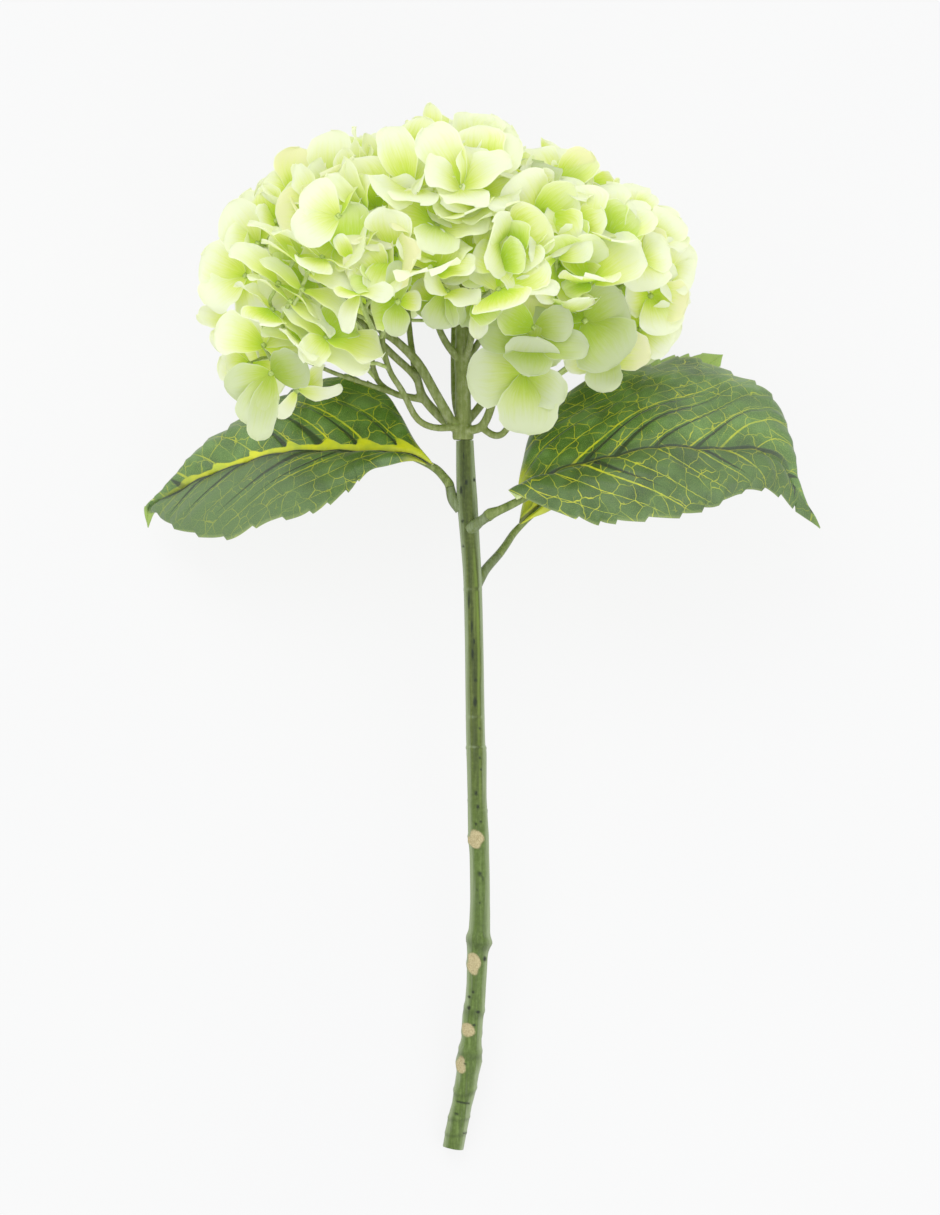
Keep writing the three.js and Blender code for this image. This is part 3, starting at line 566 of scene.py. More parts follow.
HEAD_HEIGHT = 78
HEAD_RADIUS = 88
HEAD_SHIFT = -7
CROWN_RISE = 56
SKIRT_DROP = 80
SKIRT_MIDDLE, SKIRT_LEFT, SKIRT_RIGHT = 0.16, 0.34, 0.2
SPIRAL_COUNT = 58
SPIRAL_SPACE = 26
CROWN_TURN = 0.9                 # how far the florets at the top turn towards the side that faces up
DOME_HALF, DOME_RISE = 102, 74   # the dome's outline: half its width, and its rise over its foot
DOME_FOOT = 67
DOME_INSIDE = 0.74
# The head's outline as seen from the front at the stem's depth: across and along, from its lower
# left over the crown. No petal of a hidden floret reaches over it.
HEAD_OUTLINE = [
    (-98, 10), (-105, 31), (-113, 54), (-117, 79), (-108, 97), (-96, 113), (-84, 124), (-65, 134),
    (-46, 139), (-41, 130), (-31, 140), (-14, 149), (-10, 143), (10, 142), (21, 140), (27, 134), (38, 129),
    (57, 127), (62, 116), (80, 112), (93, 101), (99, 90), (102, 76), (98, 58), (91, 45), (82, 35), (60, 38),
    (35, 45), (12, 55), (-5, 60), (-20, 58), (-40, 42), (-60, 30),
]
SEED = 7
PETAL_LENGTH = 24
PETAL_HALF_WIDTH = 0.49
GOLDEN = 3 - sqrt(5)             # half turns from one floret of a spiral to the next
PHOTO_MIDDLE = (470, 607.5)
PIXEL = 0.45                     # millimetres at the stem's depth
UPRIGHT = 0.7                    # petals that come forwards more than this are folded up
UPRIGHT_BEND = (-0.12, 0)
OPEN_BEND = (0.06, 0.18)
LONGER_THAN_SEEN = 1.02
PETAL_ROWS = 13
PETAL_COLUMNS = 11
PETAL_CLOTH = 0.3
PETAL_CUP = 0.4
PETAL_NARROWS = 0.82             # how much of its half width a petal loses at its foot
PETAL_CROWDS = 1.35              # how much its rows crowd towards the tip
THINNER_EDGE = 0.8
STEEPEST = 0.3                   # how level a direction has to be to be laid along the table
TABLE_GAP = 0.1
TABLE_STEP = 0.5
TABLE_LAYERS = 3

# How pale, how green and how warm a petal is, and how much painted shade darkens it.
SHADES = {
    "white": (1, 0, 0, 0), "pale": (0.75, 0.05, 0, 0), "lime": (0.4, 0, 0, 0), "deep": (0.15, 0.7, 0, 0),
    "grey": (0.6, 0.6, 0, 0.6), "warm": (0.55, 0, 0.8, 0), "dull": (0.6, 0.7, 0, 0.8),
    "dusty": (0.78, 0.4, 0, 0.45),
}


# Seen florets: pixel across and down, depth, degrees that it faces to the right and upwards, and
# its petals: the pixel of the tip, how far the tip comes forwards as a share of what the petal's
# length leaves, its shade, and its width where it is narrow.
SEEN_FLORETS = [
    ((461, 188, 80, 0, 30), [(424, 130, -0.1, "pale", 0.75), (425, 172, 0.6, "white", 0.85),
     (510, 162, 0.5, "white", 0.9), (474, 202, 0.95, "white", 0.9)]),
    ((478, 176, 70, 5, 30), [(478, 128, -0.1, "lime"), (518, 140, 0, "white", 0.9),
     (452, 150, 0, "pale", 0.8)]),
    ((476, 154, 44, 5, 50), [(468, 113, -0.2, "pale", 0.9), (510, 127, -0.2, "pale", 0.9),
     (490, 116, -0.3, "pale", 0.8)]),
    ((410, 189, 76, -4, 30), [(387, 128, 0, "pale", 0.65), (430, 157, -0.2, "pale", 0.8),
     (379, 195, 0.85, "white"), (420, 202, 0.95, "white", 0.9)]),
    ((410, 172, 64, 20, 30), [(408, 132, -0.3, "deep", 0.7), (424, 118, -0.2, "lime", 0.7),
     (392, 160, 0.2, "lime", 0.7)]),
    ((432, 150, 46, 30, 35), [(431, 104, 0, "lime", 0.4), (414, 120, -0.2, "lime", 0.7),
     (452, 128, 0, "pale", 0.8)]),
    ((464, 210, 74, 0, 50), [(440, 212, 0.8, "lime", 0.8), (492, 214, 0.8, "pale", 0.9),
     (464, 214, 0.95, "lime", 1.1)]),
    ((408, 238, 70, 0, 40), [(396, 208, -0.5, "lime"), (424, 208, -0.5, "lime")]),
    ((448, 244, 74, 0, 30), [(434, 208, -0.2, "lime", 0.6), (456, 208, -0.1, "pale", 0.5),
     (424, 232, 0.2, "lime", 0.8)]),
    ((436, 270, 86, -8, 30), [(408, 231, -0.2, "pale"), (452, 236, -0.3, "pale", 1.2),
     (428, 268, 0.97, "white", 1.2), (474, 266, 0.5, "lime", 0.8)]),
    ((434, 258, 78, 0, 40), [(430, 236, -0.7, "deep", 0.9), (412, 256, 0.6, "lime", 0.7)]),
    ((447, 292, 82, 20, 45), [(475, 303, 0.5, "white", 0.8), (426, 279, 0.5, "white", 0.8),
     (434, 328, -0.2, "grey", 0.8), (459, 323, -0.4, "grey", 0.7)]),
    ((474, 300, 70, 20, -10), [(478, 338, 0, "pale", 0.45), (495, 318, 0.2, "deep"),
     (468, 326, -0.3, "grey", 0.7)]),
    ((398, 302, 84, -10, 4), [(399, 262, 0.2, "grey", 0.55), (397, 336, 0.2, "grey", 0.6),
     (372, 312, -0.4, "deep"), (420, 300, 0, "lime", 0.6)]),
    ((358, 293, 82, -14, 40), [(393, 297, 0.5, "white", 0.45), (346, 332, 0.3, "white", 0.55),
     (340, 296, 0.4, "lime", 0.7)]),
    ((352, 260, 78, 0, 20), [(350, 204, 0.1, "deep", 0.85), (382, 208, 0.1, "lime", 0.4),
     (338, 236, 0.2, "lime", 0.4)]),
    ((386, 282, 76, -30, 20), [(356, 256, 0.2, "lime"), (383, 222, 0, "warm", 0.7),
     (352, 284, 0.3, "deep", 0.8)]),
    ((378, 292, 74, 50, 40), [(350, 257, 0.1, "lime", 0.5), (360, 268, 0.4, "deep", 0.5)]),
    ((339, 216, 80, -24, 12), [(307, 188, 0.3, "white", 0.85), (297, 238, 0.4, "white", 0.85),
     (352, 180, -0.5, "lime", 0.6)]),
    ((322, 212, 62, -20, 20), [(296, 166, 0, "pale", 0.45), (277, 214, 0.1, "warm"),
     (300, 190, -0.3, "pale")]),
    ((366, 212, 76, -50, 20), [(346, 158, 0, "pale", 0.7), (330, 176, 0.1, "pale", 0.35),
     (366, 176, 0.3, "lime", 0.8)]),
    ((362, 184, 62, -55, 20), [(356, 128, 0, "pale", 0.7), (342, 150, 0.2, "lime", 0.8),
     (372, 150, -0.2, "lime", 0.8)]),
    ((374, 186, 56, 55, 20), [(366, 134, 0, "lime", 0.6), (380, 160, 0.2, "pale", 0.6)]),
    ((300, 198, 48, -15, 35), [(300, 149, 0, "warm"), (266, 182, 0, "lime", 0.8),
     (284, 214, 0.2, "lime", 0.9)]),
    ((334, 188, 50, -5, 35), [(332, 134, 0, "pale", 0.9), (362, 160, -0.2, "pale"),
     (312, 164, 0.1, "pale", 0.8)]),
    ((276, 222, 50, -25, 20), [(262, 186, 0, "lime", 0.8), (290, 186, -0.2, "pale", 0.8),
     (258, 214, 0.3, "pale", 0.9)]),
    ((258, 244, 44, -35, 8), [(229, 205, 0, "white"), (262, 206, -0.2, "pale"),
     (226, 240, 0.2, "pale", 0.9)]),
    ((246, 276, 44, -30, -4), [(202, 256, 0, "pale", 0.9), (208, 304, 0.1, "white", 0.9),
     (262, 310, 0.2, "pale"), (262, 246, -0.2, "pale", 0.9)]),
    ((296, 256, 70, 36, 48), [(250, 222, 0, "pale", 0.6), (336, 282, 0.2, "pale", 0.6)]),
    ((322, 258, 74, 36, 46), [(274, 230, 0.1, "white", 0.6), (350, 272, 0.3, "lime", 0.6),
     (312, 270, 0.8, "pale", 0.8)]),
    ((308, 272, 74, 30, 50), [(359, 285, 0.1, "white", 0.8), (262, 244, 0, "lime", 0.6)]),
    ((278, 284, 66, 40, 48), [(231, 248, 0, "pale", 0.6), (318, 320, 0.2, "lime", 0.6)]),
    ((302, 290, 72, 40, 50), [(347, 316, 0.1, "pale", 0.6), (260, 262, 0, "pale", 0.6)]),
    ((290, 302, 68, 40, 48), [(331, 336, 0.1, "white", 0.6), (248, 276, 0, "pale", 0.6)]),
    ((272, 310, 60, 42, 46), [(316, 346, 0.1, "pale", 0.65), (236, 284, 0, "white", 0.65),
     (260, 322, 0.8, "lime", 0.9)]),
    ((300, 284, 54, 20, 10), [(290, 244, 0, "deep", 1.1), (340, 270, 0, "deep", 1.1),
     (322, 318, 0, "deep", 1.1), (262, 300, 0, "pale", 1.1)]),
    ((326, 338, 66, 20, 36), [(283, 308, 0.1, "pale", 0.6), (381, 358, 0.2, "lime"),
     (346, 314, -0.5, "deep"), (306, 362, 0.6, "pale", 0.7)]),
    ((304, 344, 62, 40, 50), [(366, 372, 0.2, "white", 0.8), (262, 332, 0, "pale", 0.6),
     (298, 342, 0.95, "white", 0.9), (310, 318, -0.5, "lime")]),
    ((524, 373, 64, 5, -12), [(468, 375, 0, "dusty", 1.1), (527, 433, 0, "dusty", 1.1),
     (563, 400, 0.3, "dusty", 0.8), (536, 338, 0.5, "dusty", 1.25)]),
    ((531, 347, 67, -5, 12), [(529, 309, -0.3, "grey", 1.15), (480, 331, 0.2, "dull", 0.8),
     (588, 346, 0.2, "grey", 0.7), (530, 376, 0.6, "dull")]),
    ((534, 328, 66, 0, 15), [(547, 298, -0.4, "warm", 1.1), (500, 310, 0.2, "deep", 0.8),
     (572, 326, 0.2, "grey", 0.8)]),
    ((585, 321, 64, -6, -6), [(624, 298, 0.2, "dull", 1.2), (618, 363, 0.3, "dull", 1.3),
     (562, 336, -0.5, "deep"), (566, 298, -0.5, "deep")]),
    ((499, 290, 84, -5, 38), [(490, 257, -0.5, "white", 1.2), (541, 256, -0.4, "lime", 1.2),
     (500, 308, 0.95, "lime", 1.1), (558, 291, 0.5, "white", 0.5)]),
    ((590, 282, 68, 6, 40), [(583, 236, -0.3, "lime", 1.15), (640, 250, 0.1, "pale", 1.15),
     (584, 275, 0.97, "lime", 1.1), (566, 292, 0.2, "deep", 0.9)]),
    ((556, 214, 64, 0, 30), [(556, 177, -0.3, "pale", 1.2), (520, 204, 0.1, "deep", 0.8),
     (590, 206, -0.2, "pale", 0.9)]),
    ((574, 228, 68, 5, 30), [(574, 189, -0.3, "pale", 1.3), (604, 214, 0.1, "lime", 0.9),
     (545, 216, 0.2, "lime", 0.8)]),
    ((532, 200, 60, 5, 30), [(544, 163, -0.3, "grey", 1.1), (508, 176, 0, "pale", 0.9),
     (562, 184, 0, "lime", 0.8)]),
    ((560, 184, 48, 15, 35), [(589, 153, 0, "warm", 0.8), (592, 182, 0.2, "lime", 0.8),
     (553, 150, -0.4, "pale", 0.9), (536, 170, 0, "pale", 0.8)]),
    ((608, 216, 56, 10, 35), [(606, 184, -0.4, "white", 1.1), (582, 200, 0, "pale", 0.9),
     (634, 208, 0, "pale", 0.9)]),
    ((624, 236, 60, 12, 35), [(623, 200, -0.4, "white", 1.15), (652, 214, 0, "pale", 0.9),
     (598, 226, 0.1, "pale", 0.8)]),
    ((636, 212, 38, 20, 40), [(634, 184, -0.3, "white", 0.75), (654, 196, -0.1, "pale", 0.6),
     (616, 200, 0, "pale", 0.7)]),
    ((656, 238, 44, 30, 25), [(655, 207, -0.4, "pale"), (681, 220, -0.1, "white", 1.1),
     (685, 248, 0.2, "white", 0.9), (636, 232, 0.2, "lime", 0.8)]),
    ((642, 260, 58, 18, 25), [(642, 226, -0.4, "warm", 1.1), (668, 250, 0, "white", 1.1),
     (650, 290, 0.3, "white", 1.1), (616, 262, 0.2, "lime", 0.9)]),
    ((667, 272, 44, 40, 0), [(684, 244, -0.1, "white", 1.1), (692, 280, 0, "white"),
     (672, 302, 0.2, "white"), (648, 268, 0.2, "lime", 0.9)]),
    ((556, 258, 74, 0, 30), [(545, 229, -0.5, "grey", 0.85), (560, 214, -0.2, "deep", 1.3),
     (588, 236, 0.1, "pale", 0.9), (530, 252, 0.4, "lime", 0.9)]),
    ((520, 254, 76, -40, 30), [(532, 222, -0.2, "lime"), (510, 222, 0.4, "deep"),
     (540, 262, 0.4, "lime", 0.8)]),
    ((500, 266, 82, 0, 25), [(500, 231, -0.3, "lime", 1.15), (524, 256, 0.3, "deep", 0.9),
     (474, 254, 0.2, "lime", 0.9)]),
    ((608, 240, 64, 8, 35), [(602, 208, -0.4, "deep"), (636, 216, -0.2, "deep", 1.1),
     (612, 236, 0.9, "pale", 0.9)]),
    ((602, 350, 50, 5, -25), [(603, 391, 0.2, "dusty", 0.8), (650, 352, 0, "warm", 0.8),
     (566, 366, 0, "lime", 0.7)]),
    ((568, 312, 66, -10, 66), [(589, 297, 0.8, "pale", 0.7), (574, 280, -0.9, "deep"),
     (548, 299, 0.2, "deep"), (599, 288, -0.8, "deep")]),
    ((650, 296, 48, 32, -4), [(676, 276, -0.2, "white"), (686, 306, 0, "warm"), (664, 334, 0.2, "pale"),
     (626, 300, 0.2, "lime")]),
    ((640, 328, 46, 30, -22), [(680, 320, 0, "pale"), (668, 350, 0, "pale", 0.8), (640, 364, 0, "dull"),
     (626, 304, -0.2, "warm")]),
    ((264, 346, 56, -24, 40), [(216, 336, 0.2, "pale"), (252, 318, -0.4, "white"),
     (304, 330, -0.2, "white", 0.8), (318, 360, 0.5, "pale", 0.7)]),
    ((242, 324, 34, -40, 10), [(200, 315, 0, "pale", 0.45), (246, 303, -0.3, "warm"),
     (222, 352, 0.2, "pale"), (276, 318, 0.2, "lime")]),
    ((271, 373, 62, -14, -30), [(226, 386, 0.2, "dusty", 0.9), (248, 422, 0.2, "dusty", 0.8),
     (258, 439, 0.4, "dusty", 0.5), (306, 364, 0.4, "dull", 1.1)]),
    ((250, 364, 46, -34, -20), [(222, 356, 0, "pale"), (228, 372, 0.2, "pale"), (280, 392, 0, "lime")]),
    ((297, 390, 46, -10, -50), [(342, 389, 0, "white", 0.4), (279, 417, 0, "white", 0.4),
     (324, 366, -0.3, "lime", 0.7)]),
    ((463, 256, 66, 0, 30), [(450, 228, 0, "lime", 1.1), (486, 238, 0, "lime"), (444, 282, 0.3, "lime", 1.1),
     (484, 284, 0.3, "deep")]),
    ((436, 300, 60, 0, 10), [(420, 280, 0, "lime", 0.9), (452, 282, 0, "lime"),
     (424, 318, 0.2, "grey", 0.8)]),
]


def random_from(seed):
    """The same run of numbers from 0 to 1 as in the part's source."""
    state = [seed]

    def draw():
        state[0] = (state[0] + 0x6D2B79F5) & 0xFFFFFFFF
        t = state[0]
        t = ((t ^ (t >> 15)) * (t | 1)) & 0xFFFFFFFF
        t = t ^ ((t + (((t ^ (t >> 7)) * (t | 61)) & 0xFFFFFFFF)) & 0xFFFFFFFF)
        return ((t ^ (t >> 14)) & 0xFFFFFFFF) / 4294967296
    return draw


def seen_at(across, down, depth):
    """The place at a depth that the photograph shows at a pixel."""
    scale = PIXEL * (1 - depth / CAMERA_DISTANCE)
    return np.array([
        CAMERA_AIM[0] + (across - PHOTO_MIDDLE[0]) * scale,
        CAMERA_AIM[1] - (down - PHOTO_MIDDLE[1]) * scale,
        depth,
    ])


def facing(right, up):
    yaw, pitch = radians(right), radians(up)
    return np.array([sin(yaw) * cos(pitch), sin(pitch), cos(yaw) * cos(pitch)])


def floret(centre, faces, petals):
    return {"centre": np.array(centre, float), "faces": unit(np.array(faces, float)), "petals": petals}


def floret_axes(faces):
    """The two ways across a floret that faces this way: upwards and to the left."""
    upwards = unit(np.array([0, 1.0, 0]) - faces[1] * faces)
    return upwards, np.cross(faces, upwards)


def seen_floret(place, tips, rng):
    """A floret from what the photograph shows of it."""
    centre, faces = seen_at(*place[:3]), facing(*place[3:])
    petals = []
    for across, down, forward, shade, *width in tips:
        seen = np.linalg.norm(seen_at(across, down, place[2]) - centre)
        length = max(PETAL_LENGTH, seen * LONGER_THAN_SEEN)
        way = seen_at(across, down, place[2] + forward * sqrt(length ** 2 - seen ** 2)) - centre
        petals.append({
            "way": way, "length": np.linalg.norm(way),
            "bend": rng.uniform(*(UPRIGHT_BEND if forward > UPRIGHT else OPEN_BEND)),
            "width": width[0] if width else 1, "shade": SHADES[shade],
        })
    return floret(centre, faces, petals)


# What chance gives each petal of an open floret: the range of its turn in the floret, of its tilt
# and length as shares of the floret's own, of its bend and width, and of its paleness.
OPEN_PETAL = {
    "turn": (-0.15, 0.15), "tilt": (0.6, 1.3), "length": (0.9, 1.06), "bend": (0.08, 0.2),
    "width": (0.85, 1.1), "pale": (-0.3, 0.3),
}


def open_floret(centre, faces, turn, opening, size, rng, pale):
    """A floret of four petals that open by the same angle, with a little chance in each."""
    made = floret(centre, faces, [])
    faces = made["faces"]
    upwards, leftwards = floret_axes(faces)
    for k in range(4):
        angle = turn + k * pi / 2 + rng.uniform(*OPEN_PETAL["turn"])
        tilt = opening * rng.uniform(*OPEN_PETAL["tilt"]) / 2
        length = PETAL_LENGTH * size * rng.uniform(*OPEN_PETAL["length"])
        radial = upwards * cos(angle) + leftwards * sin(angle)
        made["petals"].append({
            "way": (radial * cos(tilt) + faces * sin(tilt)) * length, "length": length,
            "bend": rng.uniform(*OPEN_PETAL["bend"]), "width": rng.uniform(*OPEN_PETAL["width"]),
            "shade": (
                np.clip(pale + rng.uniform(*OPEN_PETAL["pale"]), 0, 1),
                rng.uniform(0, 1) ** 3 * 0.5, rng.uniform(0, 1) ** 5, 0,
            ),
        })
    return made


def within_outline(point):
    """Whether a place is seen inside the head's outline."""
    scale = 1 - point[2] / CAMERA_DISTANCE
    across = CAMERA_AIM[0] + (point[0] - CAMERA_AIM[0]) / scale
    along = CAMERA_AIM[1] + (point[1] - CAMERA_AIM[1]) / scale
    inside = False
    for (x0, y0), (x1, y1) in zip(HEAD_OUTLINE, HEAD_OUTLINE[1:] + HEAD_OUTLINE[:1]):
        if (y0 > along) != (y1 > along) and across < x0 + (along - y0) / (y1 - y0) * (x1 - x0):
            inside = not inside
    return inside


def hidden(bloom):
    """A floret that the photograph doesn't show, without the petals that would reach over the
    head's outline."""
    kept = []
    for petal in bloom["petals"]:
        way = petal["way"]
        side = unit(np.cross(bloom["faces"], way)) * PETAL_HALF_WIDTH * PETAL_LENGTH * 0.8
        ends = (way, way * 0.7 + side, way * 0.7 - side)
        if all(within_outline(bloom["centre"] + end) for end in ends):
            kept.append(petal)
    return {**bloom, "petals": kept}


# The outer spiral: where it starts, how far down it reaches, how far its florets stray from facing
# outwards, how pale they are at its foot and how much paler at its top.
SPIRAL_START, SPIRAL_DEEP, SPIRAL_STRAY, SPIRAL_PALE, CROWN_PALER = 0.4, 1.5, 0.8, 0.6, 0.3


def on_spiral(index, start, rise):
    """A place on the spiral at a height from -1 to 1, as across and depth, with its turn."""
    turn = index * pi * GOLDEN + start
    ring = sqrt(1 - rise * rise)
    return sin(turn) * ring, cos(turn) * ring, turn


def spiral_floret(index, draw, rng):
    """The floret that the part's source has at this place of its spiral, and whether it would hang
    below the head."""
    rise = 1 - (index + SPIRAL_START) / SPIRAL_COUNT * SPIRAL_DEEP
    across, depth, turn = on_spiral(index, 0, rise)
    reach = CROWN_RISE if rise > 0 else SKIRT_DROP
    outwards = unit(np.array([across, rise * HEAD_RADIUS / reach, depth]))
    stray = np.array([draw() - 0.5, draw() - 0.2, draw() - 0.5])
    centre = np.array([HEAD_SHIFT + across * HEAD_RADIUS, HEAD_HEIGHT + rise * reach, depth * HEAD_RADIUS])
    over = np.hypot(centre[0] / DOME_HALF, (centre[1] - DOME_FOOT) / DOME_RISE)
    if centre[1] > DOME_FOOT and over > DOME_INSIDE:
        centre[1] = DOME_FOOT + (centre[1] - DOME_FOOT) * DOME_INSIDE / over
    turned = draw() * pi
    opening = radians(30 + 40 * draw() + 50 * max(rise - 0.3, 0))
    size = 1 + 0.2 * draw()
    faces = outwards + stray * SPIRAL_STRAY + np.array([0, 0, CROWN_TURN * max(rise, 0)])
    pale = SPIRAL_PALE + CROWN_PALER * max(rise, 0)
    made = open_floret(centre, faces, turned, opening, size, rng, pale)
    edge = SKIRT_MIDDLE + (SKIRT_LEFT if across < 0 else SKIRT_RIGHT) * sin(turn) ** 2
    return made, rise < -edge


def outer_florets(rng):
    """The florets seen from the front, and those of the spiral that are clear of them."""
    draw = random_from(SEED)
    front = [
        seen_floret(place, tips, np.random.default_rng([SEED, index]))
        for index, (place, tips) in enumerate(SEEN_FLORETS)
    ]
    spiral = []
    for index in range(SPIRAL_COUNT):
        made, hangs = spiral_floret(index, draw, rng)
        nearest = min(np.linalg.norm(other["centre"] - made["centre"]) for other in front)
        made = hidden(made)
        if not hangs and nearest > SPIRAL_SPACE and made["petals"]:
            spiral.append(made)
    return front, spiral


# Layers of hidden florets: how many, their share of the head's size, how far down they reach,
# the size of their petals and how pale they are.
INNER_LAYERS = {"core": (30, 0.72, 1.12, 1.1, 0.25), "middle": (64, 0.91, 1.22, 0.95, 0.5)}
INNER_FLATTER = 1.4              # how much more than on a ball they face up and down
INNER_LIFT = 2
INNER_STRAY = 0.45
INNER_OPENING = (20, 90)         # degrees


def inner_florets(layer, rng):
    """Florets below the outer ones, which close the gaps between them."""
    count, inside, deep, size, pale = INNER_LAYERS[layer]
    made = []
    for index in range(count):
        rise = 1 - (index + 0.5) / count * deep
        across, depth, _ = on_spiral(index, count, rise)
        outwards = unit(np.array([across, rise * INNER_FLATTER, depth]))
        centre = (
            HEAD_SHIFT + across * HEAD_RADIUS * inside,
            HEAD_HEIGHT + rise * CROWN_RISE * inside + INNER_LIFT,
            depth * HEAD_RADIUS * inside,
        )
        faces = outwards + rng.uniform(-INNER_STRAY, INNER_STRAY, 3)
        opening = radians(rng.uniform(*INNER_OPENING))
        bloom = hidden(open_floret(centre, faces, rng.uniform(0, pi), opening, size, rng, pale))
        if bloom["petals"]:
            made.append(bloom)
    return made


def along_table(direction, otherwise):
    flat = direction - (direction @ UP) * UP
    return unit(flat) if np.linalg.norm(flat) > STEEPEST else unit(otherwise)


def petal_half_width(share, widest, blunt):
    if share < widest:
        return 1 - PETAL_NARROWS * (1 - share / widest) ** 2
    t = (share - widest) / (1 - widest)
    return sqrt(max(1 - t ** blunt, 0.0004))


PETAL_SHARES = 1 - (1 - np.linspace(0, 1, PETAL_ROWS + 1)) ** PETAL_CROWDS
PETAL_THICKNESS = PETAL_CLOTH * (1 - THINNER_EDGE * np.maximum(
    np.abs(np.linspace(-1, 1, PETAL_COLUMNS))[None, :] ** 6, PETAL_SHARES[:, None] ** 8,
))
PETAL_UV = np.tile(np.column_stack([
    np.tile(np.linspace(0, 1, PETAL_COLUMNS), PETAL_ROWS + 1), np.repeat(PETAL_SHARES, PETAL_COLUMNS),
]), (2, 1))


# What chance gives each petal: how high its margin ripples, in how many waves, how far it flattens
# towards its tip, where it is widest, how blunt it is, how lopsided, and its roll, twist and curl.
EACH_PETAL = {
    "wave": (0.04, 0.1), "beat": (0.9, 2.2), "flat": (0, 1.6), "widest": (0.52, 0.68), "blunt": (1.7, 2.7),
    "skew": (-0.14, 0.14), "roll": (-0.35, 0.35), "twist": (-0.5, 0.5), "curl": (-0.35, 0.25),
}
PETAL_START = 0.6                # the distance from a floret's middle to the foot of its petals
CURLS_FROM = 0.55                # the share of a petal's length where its tip starts to curl


def petal_grid(bloom, petal, rng, rest):
    """The middle surface of one petal. Its middle line starts out towards where the floret faces
    and levels out, and where it meets the table it bends to lie flat."""
    faces, way, length = bloom["faces"], petal["way"], petal["length"]
    bent = way * 0.5 + faces * petal["bend"] * length
    wave, beat = rng.uniform(*EACH_PETAL["wave"]), rng.uniform(*EACH_PETAL["beat"])
    start, flat = rng.uniform(0, 1), rng.uniform(*EACH_PETAL["flat"])
    widest, blunt = rng.uniform(*EACH_PETAL["widest"]), rng.uniform(*EACH_PETAL["blunt"])
    uneven = 1 + 0.05 * np.sin(2 * pi * (rng.uniform(0, 1) + PETAL_SHARES * rng.uniform(1, 2)))
    uneven = uneven + 0.025 * np.sin(2 * pi * (rng.uniform(0, 1) + PETAL_SHARES * rng.uniform(3, 5)))
    sides = np.linspace(-1, 1, PETAL_COLUMNS)
    skew = 1 + rng.uniform(*EACH_PETAL["skew"]) * sides
    roll, twist, curl = (rng.uniform(*EACH_PETAL[key]) for key in ("roll", "twist", "curl"))
    point = bloom["centre"] + unit(way) * PETAL_START
    outwards = np.array([-1 if point[0] < HEAD_SHIFT else 1, 0, 0])
    half_width = PETAL_HALF_WIDTH * PETAL_LENGTH * (0.5 + 0.5 * length / PETAL_LENGTH) * petal["width"]
    grid = []
    for i, share in enumerate(PETAL_SHARES):
        after = PETAL_SHARES[min(i + 1, PETAL_ROWS)]
        slope = 2 * (1 - share) * bent + 2 * share * (way - bent)
        step, heading = slope * (after - share), unit(slope)
        across = unit(np.cross(faces, heading))
        lies = height(point + step) < rest
        if lies:
            heading = along_table(heading, outwards)
            across = along_table(across, np.cross(UP, heading))
            across = unit(across - (across @ heading) * heading)
            step = heading * np.linalg.norm(step)
        normal = np.cross(heading, across)
        if not lies:
            turn = roll + twist * (share - 0.4)
            across, normal = across * cos(turn) + normal * sin(turn), normal * cos(turn) - across * sin(turn)
        half = petal_half_width(share, widest, blunt) * sides * uneven[i] * skew
        ripple = wave * np.sin(2 * pi * (beat * share + start + sides * 0.3)) * abs(sides) ** 2.4 * share
        bow = PETAL_CUP * (PETAL_HALF_WIDTH * half) ** 2 * (1 - flat * share ** 2) + ripple
        bow = bow + curl * max(share - CURLS_FROM, 0) ** 2
        line = point + np.outer(half * half_width, across)
        if not lies:
            line = line + np.outer(bow * length, normal)
        low = np.maximum(rest - (line @ UP + COLLAR_AT[2]), 0)
        grid.append(line + np.outer(low, UP))
        point = point + step
        if lies:
            point = point + UP * (rest - height(point))
    return np.array(grid)


def add_floret(shape, bloom, rng, order):
    """Adds a floret's petals. order spreads those that lie on the table over a few heights."""
    rest = PETAL_CLOTH / 2 + TABLE_GAP + TABLE_STEP * (order % TABLE_LAYERS)
    for petal in bloom["petals"]:
        points, quads = sheet(petal_grid(bloom, petal, rng, rest), PETAL_THICKNESS)
        shape.add(points, quads, Petal=PETAL_UV, Tint=np.tile(petal["shade"], (len(points), 1)))


# The small lobed knob in the middle of a floret: the radius and height of its rings, and the
# heights of its two ends.
BEAD_RINGS = ((1.1, -0.5), (1.5, 0.4), (1.1, 1.2), (0.45, 1.45))
BEAD_ENDS = (-0.9, 1.55)
BEAD_SIDES = 8


def add_bead(shape, bloom):
    faces = bloom["faces"]
    upwards, leftwards = floret_axes(faces)
    angles = np.arange(BEAD_SIDES) / BEAD_SIDES * 2 * pi
    lobes = 1 + 0.12 * np.cos(4 * angles)
    ring = np.outer(np.cos(angles) * lobes, upwards) + np.outer(np.sin(angles) * lobes, leftwards)
    rings = [bloom["centre"] + radius * ring + rise * faces for radius, rise in BEAD_RINGS]
    quads = []
    for k in range(BEAD_SIDES * (len(rings) - 1)):
        after = k - k % BEAD_SIDES + (k + 1) % BEAD_SIDES
        quads.append((k, after, after + BEAD_SIDES, k + BEAD_SIDES))
    low = BEAD_SIDES * len(rings)
    for k in range(BEAD_SIDES):
        after = (k + 1) % BEAD_SIDES
        quads.append((after, k, low))
        quads.append((low - BEAD_SIDES + k, low - BEAD_SIDES + after, low + 1))
    ends = [bloom["centre"] + rise * faces for rise in BEAD_ENDS]
    shape.add(np.vstack([*rings, *ends]), quads)


# Flower stalk.

